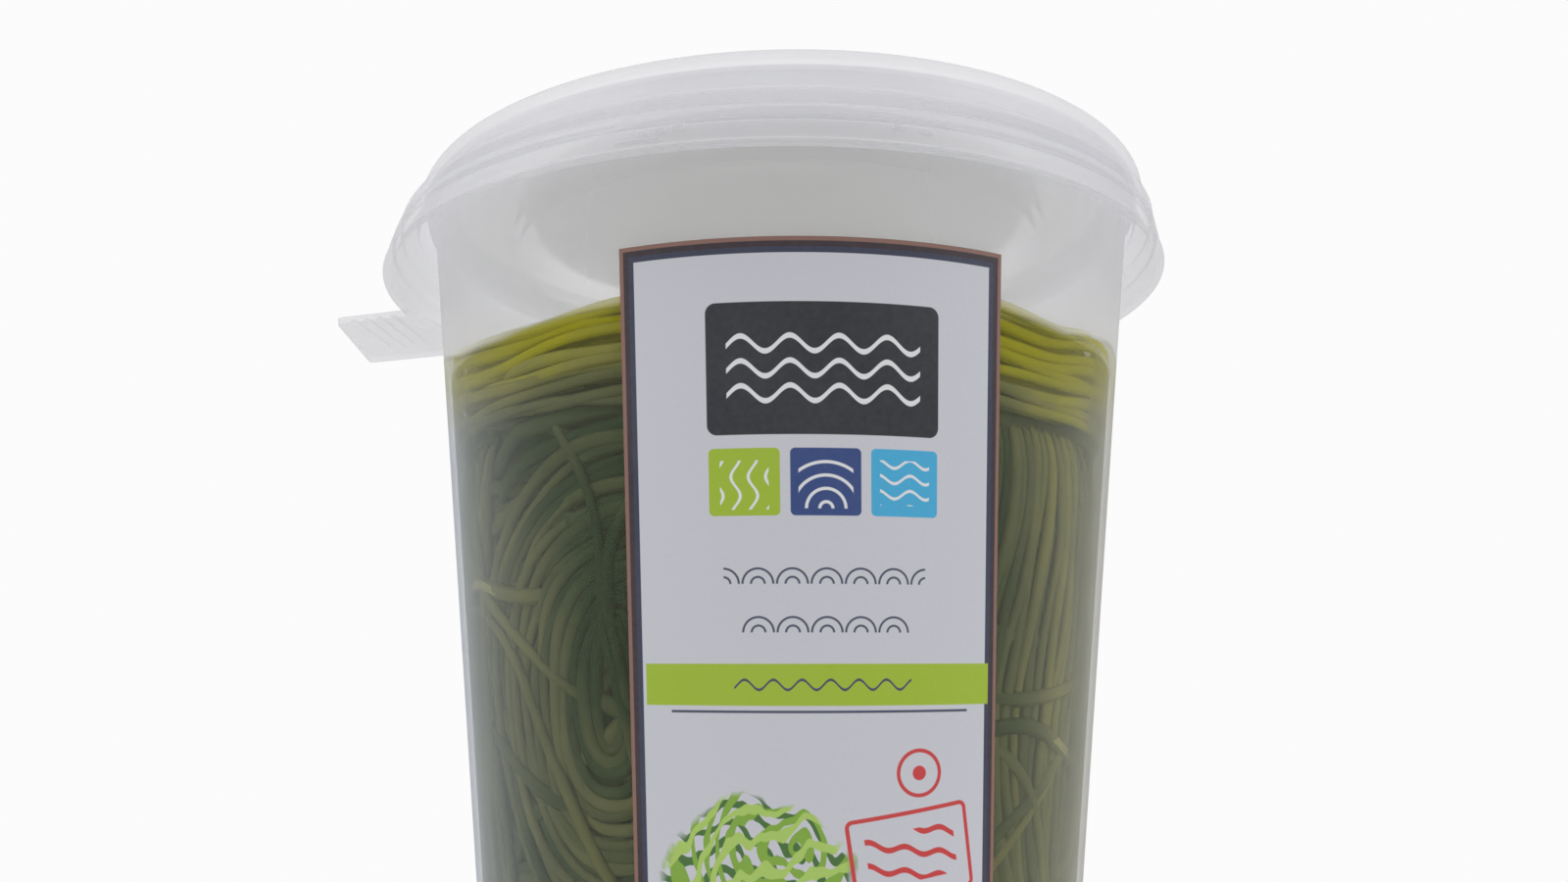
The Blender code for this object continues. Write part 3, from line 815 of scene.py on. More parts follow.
def finish_piece(piece, material, nodes=()):
    """Give a piece its material, body, slot and the nodes that it stands for."""
    piece.data.materials.clear()
    piece.data.materials.append(material)
    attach(piece, BODY)
    for node in nodes:
        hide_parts(node)


def wall_radius(height):
    """Radius of the tub's outer wall at a height."""
    return WALL_RADIUS_AT_LIP - WALL_TAPER * (SKIRT_LIP_HEIGHT - height)


def inner_radius(height, clearance=0.0):
    """Radius of the tub's inner wall at a height, less a clearance."""
    return wall_radius(height) - WALL_THICKNESS - clearance


def arc(centre, radius, start, end, steps=6):
    """Points (r, z) of an arc round a centre, angles in degrees from +r towards +z."""
    turns = [math.radians(start + (end - start) * step / steps) for step in range(steps + 1)]
    return [(centre[0] + radius * math.cos(turn), centre[1] + radius * math.sin(turn)) for turn in turns]


def softened(profile, radius, steps=3):
    """A profile with each corner rounded off."""
    result = [profile[0]]
    for before, here, after in zip(profile, profile[1:], profile[2:]):
        back = math.dist(here, before)
        ahead = math.dist(here, after)
        bend = math.acos(max(-1.0, min(1.0, sum(
            (b - a) * (d - b) for a, b, d in zip(before, here, after)) / (back * ahead))))
        cut = min(radius, 0.42 * back, 0.42 * ahead)
        if bend < math.radians(14):
            result.append(here)
            continue
        first = [h + (b - h) * cut / back for h, b in zip(here, before)]
        last = [h + (a - h) * cut / ahead for h, a in zip(here, after)]
        for step in range(steps + 1):
            t = step / steps
            result.append(tuple(
                (1 - t) ** 2 * f + 2 * t * (1 - t) * h + t ** 2 * l for f, h, l in zip(first, here, last)))
    return result + [profile[-1]]


def turned(name, profile, steps=ROUND_STEPS):
    """Draw a profile of (radius, height) points by extruding one vertex, and spin it round Z."""
    pick_nothing()
    bpy.ops.mesh.primitive_plane_add(size=0.001)
    piece = name_piece(name)
    edit_all(piece)
    bpy.ops.mesh.merge(type="CENTER")
    bpy.ops.transform.translate(value=(profile[0][0], 0.0, profile[0][1]))
    for before, after in zip(profile, profile[1:]):
        step = (after[0] - before[0], 0.0, after[1] - before[1])
        bpy.ops.mesh.extrude_vertices_move(TRANSFORM_OT_translate={"value": step})
    bpy.ops.mesh.select_all(action="SELECT")
    bpy.ops.mesh.spin(steps=steps, angle=2 * math.pi, center=(0.0, 0.0, 0.0), axis=(0.0, 0.0, 1.0))
    bpy.ops.mesh.select_all(action="SELECT")
    bpy.ops.mesh.remove_doubles(threshold=0.000003)
    close_edit()
    return piece


def round_the_tub(radius, turn, height):
    """Point at a radius, an angle from the front and a height, for numbers or arrays."""
    return np.stack(np.broadcast_arrays(radius * np.sin(turn), -radius * np.cos(turn), height), axis=-1)


def moved_points(piece, change):
    """Move all points of a piece by a function of their coordinates."""
    count = len(piece.data.vertices)
    points = np.empty(count * 3)
    piece.data.vertices.foreach_get("co", points)
    piece.data.vertices.foreach_set("co", change(points.reshape(count, 3)).ravel())
    piece.data.update()


def add_modifier(piece, kind, **settings):
    """Add a modifier with its settings and apply it."""
    modifier = piece.modifiers.new(kind.lower(), kind)
    for name, value in settings.items():
        setattr(modifier, name, value)
    pick(piece)
    bpy.ops.object.modifier_apply(modifier=modifier.name)


def tub_profile():
    """Section of the tub: recessed underside, rounded heel, tapered wall and rolled rim."""
    inner_heel_height = FLOOR_THICKNESS + INNER_HEEL_RADIUS
    inner_heel_centre = (inner_radius(inner_heel_height) - INNER_HEEL_RADIUS, inner_heel_height)
    rim_centre = (RIM_RADIUS - RIM_EDGE_RADIUS, RIM_TOP - RIM_EDGE_RADIUS)
    rim_foot = RIM_UNDERSIDE + RIM_EDGE_RADIUS
    profile = list(UNDERSIDE)
    profile += arc((wall_radius(HEEL_RADIUS) - HEEL_RADIUS, HEEL_RADIUS), HEEL_RADIUS, -90, 0, 8)
    profile.append((wall_radius(RIM_UNDERSIDE), RIM_UNDERSIDE))
    profile.append((RIM_RADIUS - RIM_EDGE_RADIUS / 3, rim_foot))
    profile.append((RIM_RADIUS, rim_foot + RIM_EDGE_RADIUS / 2))
    profile += arc(rim_centre, RIM_EDGE_RADIUS, 0, 90)
    profile.append((inner_radius(RIM_TOP) + PLUG_EDGE, RIM_TOP))
    profile.append((inner_radius(RIM_TOP), RIM_TOP - PLUG_EDGE))
    profile += arc(inner_heel_centre, INNER_HEEL_RADIUS, 0, -90)
    profile.append((0.0, FLOOR_THICKNESS))
    return softened(profile, TUB_SOFTENING)


def lid_profile():
    """Section of the lid: raised panel, channel, plug, top ring, stepped skirt and snap ridge."""
    rim_clear = RIM_RADIUS + GAP
    ring_underside = RIM_TOP + GAP
    panel_underside = PANEL_TOP - LID_THICKNESS
    plug_inside = PLUG_RADIUS - PLUG_THICKNESS
    raised = PANEL_TOP + PANEL_STEP
    profile = [(radius, raised + rise) for radius, rise in PANEL_RELIEF]
    profile += [
        (PANEL_STEP_RADIUS, raised),
        (PANEL_STEP_RADIUS + PANEL_STEP_RUN, PANEL_TOP),
        (plug_inside - PLUG_EDGE, PANEL_TOP),
        (plug_inside, PANEL_TOP + PLUG_EDGE),
        (plug_inside, HEIGHT - PLUG_EDGE),
        (plug_inside + PLUG_EDGE, HEIGHT),
    ]
    profile += arc((LID_TOP_RADIUS - LID_EDGE_RADIUS, HEIGHT - LID_EDGE_RADIUS), LID_EDGE_RADIUS, 90, 0)
    profile += [(LID_TOP_RADIUS + outside, height) for height, outside in SKIRT_OUTSIDE]
    profile += [(rim_clear + outside, height) for height, outside in SKIRT_INSIDE]
    profile += [
        (rim_clear, ring_underside - PLUG_EDGE),
        (rim_clear - PLUG_EDGE, ring_underside),
        (PLUG_RADIUS, ring_underside),
        (PLUG_RADIUS, panel_underside + PLUG_EDGE),
        (PLUG_RADIUS - PLUG_EDGE, panel_underside),
        (PANEL_STEP_RADIUS, panel_underside),
        (PANEL_STEP_RADIUS - PANEL_STEP_RUN, panel_underside + PANEL_STEP),
        (0.0, panel_underside + PANEL_STEP),
    ]
    return softened(profile, LID_SOFTENING)


def flared(points):
    """Widen the lid's skirt towards the tab, both faces alike, more and more down to the lip."""
    x, y, height = points.T
    radius = np.hypot(x, y)
    down = np.clip((FLARE_TOP - height) / (FLARE_TOP - SKIRT_LIP_HEIGHT), 0.0, 1.0)
    turn = np.arctan2(x, -y) - TAB_ANGLE
    wider = FLARE * np.sin(math.pi / 2 * down) * (1 + np.cos(turn)) / 2
    wider[radius < LID_TOP_RADIUS - LID_EDGE_RADIUS] = 0.0
    stretch = 1 + wider / np.maximum(radius, LID_EDGE_RADIUS)
    return np.stack((x * stretch, y * stretch, height), axis=1)


def lifting_tab():
    """The flat tab with its rounded corners and grip ribs, to be fused to the lid."""
    outward = np.array((math.sin(TAB_ANGLE), -math.cos(TAB_ANGLE)))
    aside = np.array((outward[1], -outward[0]))
    near_root = math.sqrt(TAB_ROOT ** 2 - TAB_NEAR ** 2)
    far_root = math.sqrt(TAB_ROOT ** 2 - TAB_FAR ** 2)
    corners = (
        (near_root, TAB_NEAR), (TAB_NEAR_LENGTH, TAB_NEAR), (TAB_FAR_LENGTH, TAB_FAR), (far_root, TAB_FAR))

    def slab(name, ends, low, high, rounding=0.0):
        """A flat block between two heights with given corners, rounded if asked."""
        pick_nothing()
        bpy.ops.mesh.primitive_plane_add(size=1.0)
        piece = name_piece(name)
        for index, (along, across) in zip((0, 1, 3, 2), ends):
            place = outward * along + aside * across
            piece.data.vertices[index].co = (place[0], place[1], low)
        edit_all(piece)
        if rounding:
            bpy.ops.mesh.bevel(offset=rounding, segments=5, affect="VERTICES")
        bpy.ops.mesh.select_all(action="SELECT")
        bpy.ops.mesh.extrude_region_move(TRANSFORM_OT_translate={"value": (0.0, 0.0, high - low)})
        close_edit()
        return piece

    top = SKIRT_LIP_HEIGHT + TAB_THICKNESS
    pieces = [slab("tab", corners, SKIRT_LIP_HEIGHT, top, TAB_CORNER)]
    near = TAB_NEAR + RIB_INSET
    far = TAB_FAR - RIB_INSET
    for number in range(RIBS):
        along = RIB_START + RIB_STEP * number
        ends = ((along, near), (along + RIB_WIDTH, near),
                (along + RIB_SLANT + RIB_WIDTH, far), (along + RIB_SLANT, far))
        pieces.append(slab("rib", ends, top - RIB_RISE, top + RIB_RISE))
    return pieces


def skirt_face(turn, height):
    """Radius of the skirt's outer face at an angle from the front and a height."""
    heights, outsides = zip(*reversed(SKIRT_OUTSIDE))
    radius = LID_TOP_RADIUS + np.interp(height, heights, outsides)
    x, y, _ = flared(round_the_tub(radius, turn, height)[None])[0]
    return math.hypot(x, y)


def moulded_nibs():
    """Small nibs and a short ledge that the mould left on the skirt, to be fused to the lid."""
    nibs = []
    for degrees, height, width, rise, proud in NIBS:
        turn = math.radians(degrees)
        depth = 2 * proud
        pick_nothing()
        bpy.ops.mesh.primitive_cube_add(
            size=1.0, location=round_the_tub(skirt_face(turn, height), turn, height),
            rotation=(0.0, 0.0, turn), scale=(width, depth, rise))
        nib = name_piece("nib")
        bpy.ops.object.transform_apply(location=True, rotation=True, scale=True)
        add_modifier(nib, "BEVEL", width=0.3 * min(rise, depth), segments=2, limit_method="NONE")
        nibs.append(nib)
    return nibs


def fuse(body, pieces):
    """Fuse loose pieces into a body, then remove them."""
    loose = bpy.data.collections.new("loose")
    bpy.context.scene.collection.children.link(loose)
    for piece in pieces:
        loose.objects.link(piece)
    add_modifier(
        body, "BOOLEAN", operation="UNION", solver="MANIFOLD", operand_type="COLLECTION", collection=loose)
    for piece in pieces:
        bpy.data.objects.remove(piece, do_unlink=True)
    bpy.data.collections.remove(loose)


def contents_radius(height):
    """Outermost radius of the packed strands at a height."""
    return inner_radius(height, GAP)


def drift(route):
    """A route with the slow bend that all strands on the wall share."""
    around, height = route.T
    turn = around / CONTENTS_RADIUS
    part = (height - LOWEST_STRAND) / (HIGHEST_STRAND - LOWEST_STRAND)
    held = np.sin(math.pi * np.clip(part, 0.0, 1.0))
    sideways = DRIFT * (np.sin(turn + 8.0 * part) + 0.5 * np.sin(2 * turn - 5.0 * part + 1.0))
    upward = DRIFT * held * np.sin(2 * turn + 2.0 * part + 0.7)
    return np.column_stack((around + sideways, height + upward))


def distances(route):
    """Distance along a route of each of its points."""
    return np.concatenate(([0.0], np.cumsum(np.linalg.norm(np.diff(route, axis=0), axis=1))))


def even_steps(route, step):
    """Points at about equal distances along a route of points."""
    lengths = distances(route)
    count = max(3, round(lengths[-1] / step))
    wanted = np.linspace(0.0, lengths[-1], count + 1)
    return np.column_stack([np.interp(wanted, lengths, part) for part in route.T])


def on_the_packed_wall(route):
    """The part of a route that lies between the lowest and the highest strand."""
    return route[(route[:, 1] >= LOWEST_STRAND) & (route[:, 1] <= HIGHEST_STRAND)]


def coil_route(around, height, half_height, turn_way, pitch):
    """A flat coil of rounded oval turns from the outside in, about one centre."""
    turns = (COIL_HALF_WIDTH - INNERMOST_TURN) / pitch
    turned_by = np.linspace(0.0, 2 * math.pi * turns, round(turns * TURN_POINTS))
    shrink = pitch * turned_by / (2 * math.pi)
    cosine = np.cos(turned_by)
    sine = np.sin(turned_by)
    across = (COIL_HALF_WIDTH - shrink) * np.sign(cosine) * np.abs(cosine) ** COIL_SQUARENESS
    upward = (half_height - shrink) * np.sign(sine) * np.abs(sine) ** COIL_SQUARENESS
    return np.column_stack((around + turn_way * across, height + upward))


def fold_routes(around, first, last, bulge, pitch):
    """Nested folds of strand above or below a coil, from one height to another."""
    count = max(0, math.floor(abs(last - first) / pitch + 0.2))
    routes = []
    part = np.linspace(-1.0, 1.0, ROUTE_POINTS)
    for number in range(count):
        level = first + math.copysign(pitch * number, last - first)
        lift = bulge * (1 - np.sqrt(np.clip(1 - (0.93 * part) ** 2, 0.0, 1.0)))
        route = on_the_packed_wall(
            np.column_stack((around + 0.97 * COIL_HALF_WIDTH * part, level + lift)))
        if len(route) >= FEWEST_POINTS:
            routes.append(route)
    return routes


def upright_routes(first, last, pitch, phase):
    """Strands that run up and down the wall between two coils, gently waved."""
    count = round((last - first) / pitch)
    part = np.linspace(0.0, 1.0, ROUTE_POINTS)
    level = LOWEST_STRAND + (HIGHEST_STRAND - LOWEST_STRAND) * part
    routes = []
    for number in range(count):
        start = first + (last - first) * (number + 0.5) / count
        swing = math.sin(math.pi * (number + 0.5) / count)
        sway = UPRIGHT_SWAY * swing * np.sin(2 * math.pi * part + phase)
        routes.append(np.column_stack((start + sway, level)))
    return routes


def cut_strands(route, draws, shortest, longest):
    """Cut a long route into strands of random lengths."""
    lengths = distances(route)
    pieces = []
    start = 0.0
    while lengths[-1] - start > shortest * 0.5:
        end = start + draws.uniform(shortest, longest)
        if lengths[-1] - end < shortest * 0.5:
            end = lengths[-1] + 1.0
        part = route[(lengths >= start) & (lengths <= end)]
        if len(part) > 3:
            pieces.append(part)
        start = end - STRAND_OVERLAP
    return pieces


def strand_routes(draws, pitch):
    """Routes of all strands on the wall: coils, folds over and under them, and uprights between."""
    routes = []
    for index, (turn, height, half_height, turn_way) in enumerate(COILS):
        around = turn * CONTENTS_RADIUS
        coil = coil_route(around, height, half_height, turn_way, pitch)
        routes += cut_strands(coil, draws, *WALL_CUT)
        under = height - half_height - pitch
        over = height + half_height + pitch
        routes += fold_routes(around, under, LOWEST_STRAND, FOLD_BULGE, pitch)
        routes += fold_routes(around, over, HIGHEST_STRAND, -FOLD_BULGE, pitch)
        following = COILS[(index + 1) % len(COILS)][0] * CONTENTS_RADIUS
        if following < around:
            following += CONTENTS_GIRTH
        side = COIL_HALF_WIDTH + pitch / 2
        routes += upright_routes(around + side, following - side, pitch, index * 2.1)
    return routes


def patch_tone_shade_and_sheen(around, height):
    """Tone that the light and dark patches add at places on the wall, painted shade and a painted
    highlight among them.
    """
    degrees = np.degrees(around / CONTENTS_RADIUS)
    tone = 0.0
    for turn, level, half_turn, half_height, depth in PATCHES_OF_TONE_SHADE_AND_SHEEN:
        aside = (degrees - turn + 180.0) % 360.0 - 180.0
        tone = tone + depth * np.exp(-(aside / half_turn) ** 2 - ((height - level) / half_height) ** 2)
    return tone


def with_tone_shade_and_sheen(strands):
    """Strands with the tone, painted shade and painted highlight of the patches added."""
    return [(points, widths, tone + patch_tone_shade_and_sheen(*points.T[:2])) for points, widths, tone in strands]


def waves(along, table, phases):
    """Sum of sine waves, each of a length over 2 pi and a height."""
    return sum(height * np.sin(along / reach + phase) for (reach, height), phase in zip(table, phases))


def strand(route, draws, step, wander, depth, tone):
    """One strand: points (around, height, depth), widths and tones along a route."""
    sideways, inwards = wander
    places = even_steps(route, step)
    count = len(places)
    along = np.arange(count) * step
    heading = np.gradient(places, axis=0)
    heading /= np.linalg.norm(heading, axis=1, keepdims=True) + 1e-12
    across = np.column_stack((-heading[:, 1], heading[:, 0]))
    phases = draws.uniform(0.0, 2 * math.pi, 5)
    places = places + across * (sideways * waves(along, SWAY_WAVES, phases[:2]))[:, None]
    from_end = np.minimum(along, along[::-1])
    dive = depth + inwards * waves(along, DIVE_WAVES, phases[2:4])
    dive = dive - END_DIVE * np.exp(-from_end / END_DIVE_LENGTH)
    widths = draws.uniform(*WIDTH_RANGE) + waves(along, WIDTH_WAVES, phases[4:])
    widths *= 1.0 - END_NARROWING * np.exp(-from_end / END_NARROWING_LENGTH)
    return np.column_stack((places, dive)), widths, np.broadcast_to(tone, (count,))


def crossing_route(draws):
    """A loose strand that wanders over the others on the wall."""
    reach = draws.uniform(*LOOSE_REACH)
    steps = np.linspace(0.0, 1.0, 31)
    heading = draws.uniform(-0.6, 0.6) + draws.uniform(-1.3, 1.3) * steps + 0.35 * np.sin(7 * steps)
    heading = heading + math.pi / 2 * round(draws.uniform(-0.5, 1.5))
    places = np.cumsum(np.column_stack((np.cos(heading), np.sin(heading))), axis=0) * reach / len(steps)
    around = draws.uniform(0.0, CONTENTS_GIRTH)
    height = draws.uniform(LOWEST_STRAND + 0.006, HIGHEST_STRAND - 0.012)
    return on_the_packed_wall(places - places.mean(axis=0) + (around, height))


def swept(name, strands, width, wrap):
    """Sweep strands as one bevelled curve, make it a mesh, flatten it and wrap it into place."""
    pick_nothing()
    curve = bpy.data.curves.new(name, "CURVE")
    curve.dimensions = "3D"
    curve.bevel_depth = width / 2
    curve.bevel_resolution = 1
    for points, widths, _ in strands:
        spline = curve.splines.new("POLY")
        spline.points.add(len(points) - 1)
        lifted = points * (1.0, 1.0, 1.0 / STRAND_FLATNESS)
        spline.points.foreach_set("co", np.column_stack((lifted, np.ones(len(points)))).ravel())
        spline.points.foreach_set("radius", widths)
    piece = bpy.data.objects.new(name, curve)
    bpy.context.scene.collection.objects.link(piece)
    pick(piece)
    bpy.ops.object.convert(target="MESH")
    piece = name_piece(name)
    total = sum(len(points) for points, _, _ in strands)
    ring, rest = divmod(len(piece.data.vertices), total)
    if rest:
        raise RuntimeError(f"{name}: the sweep has {len(piece.data.vertices)} points for {total} sections")
    tones = [tone for _, _, tone in strands]
    alongs = [np.linspace(0.0, 1.0, len(points)) * len(points) * ALONG_STEP for points, _, _ in strands]
    for label, values in (("tone", tones), ("along", alongs)):
        attribute = piece.data.attributes.new(label, "FLOAT", "POINT")
        attribute.data.foreach_set("value", np.repeat(np.concatenate(values), ring))
    moved_points(piece, lambda points: wrap(points * (1.0, 1.0, STRAND_FLATNESS)))
    edit_all(piece)
    bpy.ops.mesh.fill_holes(sides=16)
    close_edit()
    bpy.ops.object.shade_smooth()
    return piece


def onto_the_wall(points):
    """Wrap (around, height, depth) onto the inside of the tapered wall."""
    around, height, depth = points.T
    radius = contents_radius(height) + depth
    return round_the_tub(radius, around / CONTENTS_RADIUS, height)


def heap_lift(turn):
    """Height of the heaped strands above the fill level at an angle round the tub."""
    degrees = (np.degrees(turn) + 180.0) % 360.0 - 180.0
    places, lifts = zip(*HEAP)
    return sum(np.interp(degrees + shift, places, lifts) for shift in (-3.0, 0.0, 3.0)) / 3


class SPAGHETTI_OT_stage(bpy.types.Operator):
    """Make the floor, the backdrop, the lights and the camera"""

    bl_idname = "spaghetti.stage"
    bl_label = "Stage"

    def execute(self, context):
        settings = context.scene.spaghetti_stage
        pick_nothing()
        bpy.ops.mesh.primitive_circle_add(vertices=96, radius=0.4, fill_type="NGON")
        floor = name_piece("floor")
        floor.data.materials.append(pale_floor(settings))

        context.scene.world = plain_backdrop(settings)
        lights = (("left soft light", -74.0), ("right soft light", 76.0))
        for name, turn in lights:
            bpy.ops.object.light_add(type="SUN", rotation=(settings.light_tilt, 0.0, math.radians(turn)))
            light = name_piece(name)
            light.data.energy = settings.side_light
            light.data.angle = settings.light_breadth

        bpy.ops.object.camera_add(
            location=(0.0, -settings.camera_distance, settings.camera_height),
            rotation=(math.radians(90), 0.0, settings.camera_yaw))
        camera = name_piece("camera")
        camera.data.sensor_width = 36.0
        camera.data.lens = settings.lens
        camera.data.shift_x = settings.shift_x
        camera.data.shift_y = settings.shift_y
        camera.data.clip_start = 0.005
        context.scene.camera = camera
        context.scene.view_settings.view_transform = "Standard"
        context.scene.cycles.transparent_max_bounces = 40
        return {"FINISHED"}


class SPAGHETTI_OT_tub(bpy.types.Operator):
    """Make the tapered tub"""

    bl_idname = "spaghetti.tub"
    bl_label = "Tub"

    def execute(self, context):
        tub = turned("tub_shell", tub_profile())
        smooth(tub)
        scene = context.scene
        material = tub_plastic(scene.spaghetti_plastic, scene.spaghetti_seaweed.fill_level)
        finish_piece(tub, material, ["tub"])
        return {"FINISHED"}


class SPAGHETTI_OT_lid(bpy.types.Operator):
    """Make the snap lid with its lifting tab"""

    bl_idname = "spaghetti.lid"
    bl_label = "Lid"

    def execute(self, context):
        lid = turned("snap_lid", lid_profile())
        moved_points(lid, flared)
        fuse(lid, lifting_tab() + moulded_nibs())
        smooth(lid)
        finish_piece(lid, lid_plastic(context.scene.spaghetti_plastic), ["lid"])
        return {"FINISHED"}


class SPAGHETTI_OT_label(bpy.types.Operator):
    """Make the printed label"""

    bl_idname = "spaghetti.label"
    bl_label = "Label"

    def execute(self, context):
        settings = context.scene.spaghetti_label
        middle = (settings.top + settings.bottom) / 2
        pick_nothing()
        bpy.ops.mesh.primitive_grid_add(x_subdivisions=56, y_subdivisions=24, size=1.0)
        label = name_piece("front_label")

        def onto_the_front(points):
            """Wrap a unit square onto the front of the wall."""
            height = middle + points[:, 1] * (settings.top - settings.bottom)
            down = settings.top - height
            aside = points[:, 0] * settings.width * (1 - settings.narrowing * down) + settings.lean * down
            radius = wall_radius(height)
            return round_the_tub(radius + GAP, settings.centre + aside / radius, height)

        moved_points(label, onto_the_front)
        add_modifier(label, "SOLIDIFY", thickness=settings.thickness, offset=1.0, use_even_offset=True)
        smooth(label)
        finish_piece(label, printed_label(settings), ["label"])
        return {"FINISHED"}


class SPAGHETTI_OT_water(bpy.types.Operator):
    """Make the sea water, level on top, with the rise at the wall"""

    bl_idname = "spaghetti.water"
    bl_label = "Sea water"

    def execute(self, context):
        settings = context.scene.spaghetti_seaweed
        level = settings.fill_level
        floor = FLOOR_THICKNESS + GAP
        corner = 0.0016
        side = 0.6 * GAP
        heel = inner_radius(floor + corner, side) - corner
        profile = [(0.0, floor), (heel, floor)]
        profile += arc((heel, floor + corner), corner, -60, 0, 4)
        profile += [
            (inner_radius(level + 0.0006, side), level + 0.0006),
            (inner_radius(level, side) - 0.0004, level + 0.0002),
            (inner_radius(level, side) - 0.0012, level),
            (0.0, level),
        ]
        water = turned("sea_water_body", softened(profile, LID_SOFTENING))
        smooth(water)
        finish_piece(water, cloudy_water(settings), ["sea_water"])
        return {"FINISHED"}


class SPAGHETTI_OT_strands(bpy.types.Operator):
    """Make the strands against the wall, a second layer behind them and the packed inside"""

    bl_idname = "spaghetti.strands"
    bl_label = "Strands on the wall"

    def execute(self, context):
        settings = context.scene.spaghetti_seaweed
        draws = np.random.default_rng(settings.seed)
        half_rise = settings.strand_width * STRAND_FLATNESS / 2
        step = settings.strand_step
        skin = wet_seaweed("wet green seaweed", (
            (0.0, settings.dark_green), (0.45, settings.mid_green), (1.0, settings.olive)), 0.12)
        outer = []
        for route in strand_routes(draws, settings.strand_pitch):
            tone = WALL_TONE + draws.uniform(-WALL_TONE, WALL_TONE)
            depth = -half_rise - draws.uniform(*WALL_SINK)
            outer.append(strand(drift(route), draws, step, WALL_WANDER, depth, tone))
        for _ in range(LOOSE_STRANDS):
            route = crossing_route(draws)
            if len(route) >= FEWEST_POINTS:
                tone = 0.5 + draws.uniform(-0.4, 0.45)
                outer.append(strand(route, draws, step, LOOSE_WANDER, -half_rise, tone))
        coils = swept("strands_on_the_wall", with_tone_shade_and_sheen(outer), settings.strand_width, onto_the_wall)
        finish_piece(coils, skin, ["sea_spaghetti_coils"])

        inner = []
        depth = -half_rise - BEHIND_DEPTH
        part = np.linspace(0.0, 1.0, 121)
        for number in range(ROWS_BEHIND):
            level = LOWEST_STRAND + ROW_RISE * (number + 0.5)
            rise = 0.006 * np.sin(2 * math.pi * (3 * part + 0.031 * number))
            rise = rise + 0.002 * np.sin(14 * math.pi * part)
            height = np.clip(level + rise, LOWEST_STRAND, HIGHEST_STRAND)
            route = np.column_stack((CONTENTS_GIRTH * (part + 0.13 * number), height))
            for cut in cut_strands(route, draws, *BEHIND_CUT):
                tone = draws.uniform(*BEHIND_TONES)
                inner.append(strand(cut, draws, BEHIND_STEP * step, BEHIND_WANDER, depth, tone))
        behind = swept("strands_behind", inner, BEHIND_WIDTH * settings.strand_width, onto_the_wall)
        finish_piece(behind, skin)

        bottom = FLOOR_THICKNESS + 3 * GAP
        top = settings.fill_level - CORE_DROP
        profile = [
            (0.0, bottom),
            (contents_radius(bottom) - CORE_DEPTH, bottom),
            (contents_radius(top) - CORE_DEPTH, top),
            (0.0, top),
        ]
        core = turned("packed_inside", softened(profile, CORE_DROP), CORE_STEPS)
        core.data.attributes.new("tone", "FLOAT", "POINT")
        smooth(core)
        finish_piece(core, skin)
        return {"FINISHED"}


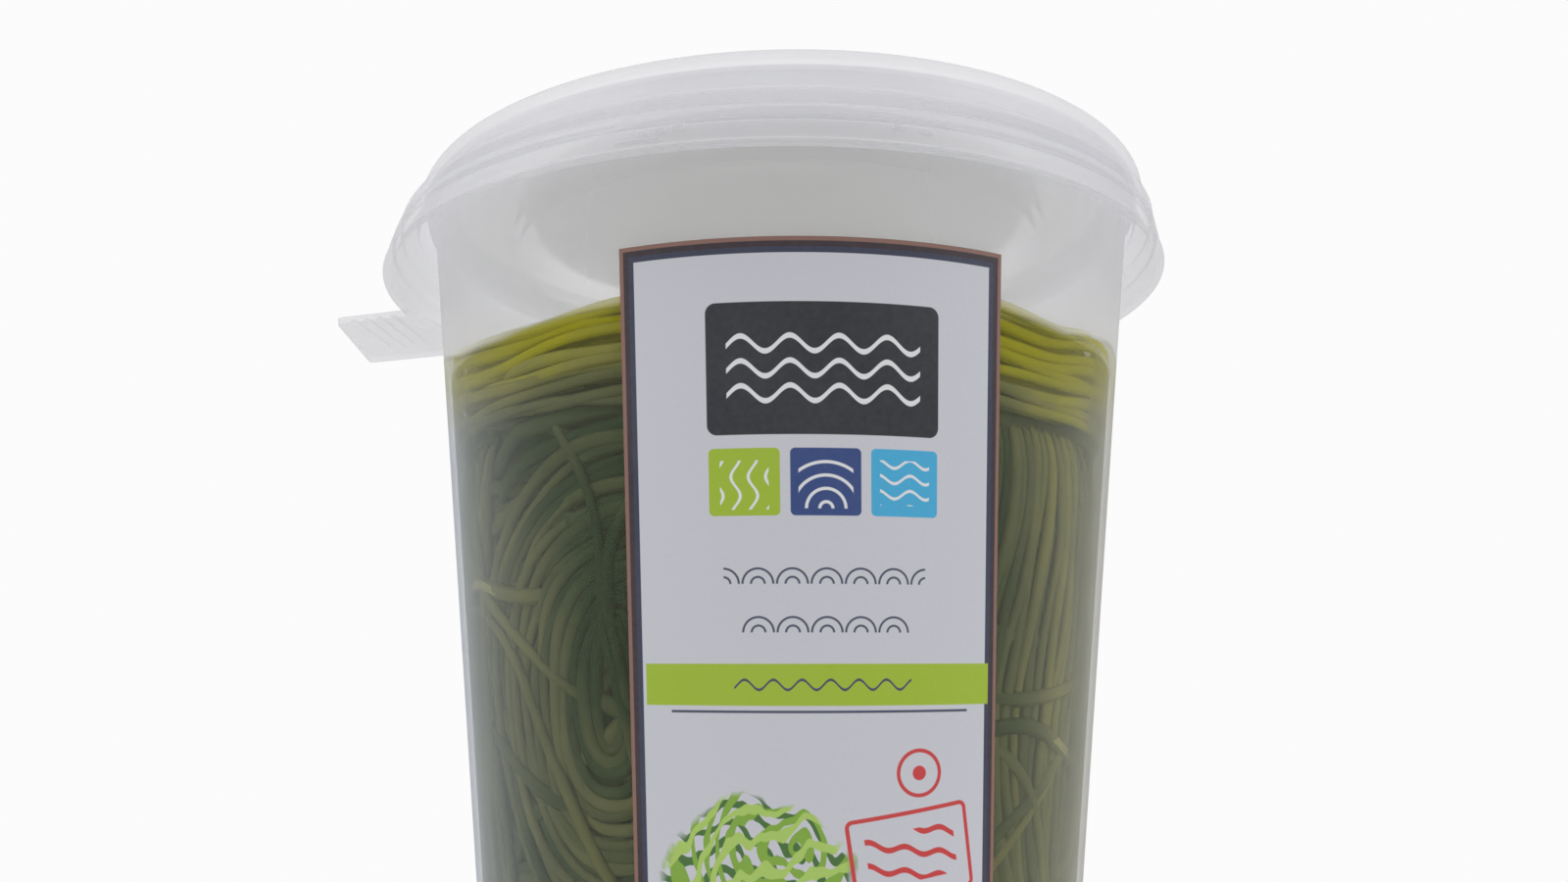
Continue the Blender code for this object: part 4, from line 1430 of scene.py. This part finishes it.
class SPAGHETTI_OT_top(bpy.types.Operator):
    """Make the yellower strands on top"""

    bl_idname = "spaghetti.top"
    bl_label = "Strands on top"

    def execute(self, context):
        settings = context.scene.spaghetti_seaweed
        draws = np.random.default_rng(settings.seed + 1)
        width = TOP_WIDTH * settings.strand_width
        half_rise = width * STRAND_FLATNESS / 2
        step = settings.strand_step
        skin = wet_seaweed("wet yellow seaweed", (
            (0.0, settings.mid_green), (0.3, settings.olive), (0.54, settings.yellow)), 0.0)
        rings = []
        part = np.linspace(0.0, 1.0, 161)
        for layer, (depth, wander) in enumerate(TOP_LAYERS):
            for number in range(TOP_ROWS):
                around = CONTENTS_GIRTH * (part + 0.21 * number + 0.4 * layer)
                top = settings.fill_level + heap_lift(around / CONTENTS_RADIUS) + TOP_MARGIN
                base = TOP_LAYER_BASE + TOP_MARGIN
                swing = TOP_SWING * np.sin(around / 0.011 + 2.2 * number + 1.9 * layer)
                slant = np.minimum((number + 0.5 + swing) / TOP_ROWS, 1.0)
                if number == TOP_ROWS - 1:
                    slant = 1.0 - 0.2 * np.sin(around / 0.007) ** 2 / TOP_ROWS
                route = np.column_stack((around, base + (top - base) * slant))
                level = (number + 0.5) / TOP_ROWS
                for cut in cut_strands(route, draws, *TOP_CUT):
                    tone = -0.1 + 1.3 * level ** 1.4 + draws.uniform(-0.22, 0.22)
                    sunk = depth - half_rise - TOP_SINK
                    rings.append(strand(cut, draws, step, (wander, TOP_SINK), sunk, tone))
        on_wall = swept("strands_under_the_surface", with_tone_shade_and_sheen(rings), width, onto_the_wall)
        finish_piece(on_wall, skin, ["sea_spaghetti_top"])

        level_strands = []
        outer = contents_radius(settings.fill_level) - LEVEL_REACH
        span = LEVEL_BEND * np.linspace(-1.0, 1.0, 61)
        for number in range(LEVEL_STRANDS):
            turn = number * 2.4
            reach = outer * (0.30 + 0.66 * ((number * 0.618) % 1.0))
            bow = 0.35 + 0.5 * math.sin(1.7 * number)
            x = reach * np.sin(span)
            y = reach * bow * (np.cos(span) - 0.4)
            cosine, sine = math.cos(turn), math.sin(turn)
            route = np.column_stack((x * cosine - y * sine, x * sine + y * cosine))
            tone = draws.uniform(*LEVEL_TONES)
            depth = -0.0006 + 0.0004 * math.sin(2.9 * number)
            level_strands.append(strand(route, draws, step, LEVEL_WANDER, depth, tone))

        def onto_the_surface(points):
            """Lift strands from height zero to the fill level."""
            return points + (0.0, 0.0, settings.fill_level)

        spin = np.linspace(0.0, 2 * math.pi * SPIRAL_TURNS, 700)
        radius = outer - SPIRAL_PITCH * spin / (2 * math.pi)
        for start, depth in SPIRALS:
            oval = radius * (1 - 0.12 * (1 - radius / outer) * np.cos(2 * spin + 0.9 + start))
            spiral = np.column_stack((oval * np.cos(spin + start), oval * np.sin(spin + start)))
            for cut in cut_strands(spiral, draws, *SPIRAL_CUT):
                tone = draws.uniform(*SPIRAL_TONES)
                level_strands.append(strand(cut, draws, step, LEVEL_WANDER, depth, tone))
        surface = swept("strands_on_the_surface", level_strands, settings.strand_width, onto_the_surface)
        finish_piece(surface, skin)
        return {"FINISHED"}


class SPAGHETTI_PT_panel(bpy.types.Panel):
    """Panel that lists the pieces"""

    bl_idname = "SPAGHETTI_PT_panel"
    bl_label = "Sea spaghetti"
    bl_space_type = "VIEW_3D"
    bl_region_type = "UI"
    bl_category = "Sea spaghetti"

    def draw(self, context):
        for operator in OPERATORS:
            self.layout.operator(operator.bl_idname)
        for name, group in GROUPS.items():
            box = self.layout.box()
            box.label(text=group.__doc__)
            for setting in group.__annotations__:
                box.prop(getattr(context.scene, name), setting)


OPERATORS = (
    SPAGHETTI_OT_stage,
    SPAGHETTI_OT_tub,
    SPAGHETTI_OT_lid,
    SPAGHETTI_OT_label,
    SPAGHETTI_OT_water,
    SPAGHETTI_OT_strands,
    SPAGHETTI_OT_top,
)


def register():
    """Register all classes and give the scene its groups of settings."""
    for kind in (*GROUPS.values(), *OPERATORS, SPAGHETTI_PT_panel):
        bpy.utils.register_class(kind)
    for name, group in GROUPS.items():
        setattr(bpy.types.Scene, name, bpy.props.PointerProperty(type=group))


def unregister():
    """Take back what register did."""
    for name in GROUPS:
        delattr(bpy.types.Scene, name)
    for kind in reversed((*GROUPS.values(), *OPERATORS, SPAGHETTI_PT_panel)):
        bpy.utils.unregister_class(kind)


def main():
    """Register the add-on and run its operators in order."""
    register()
    for operator in OPERATORS:
        name = operator.bl_idname.split(".")[1]
        getattr(bpy.ops.spaghetti, name)()
    pick_nothing()


if __name__ == "__main__":
    main()
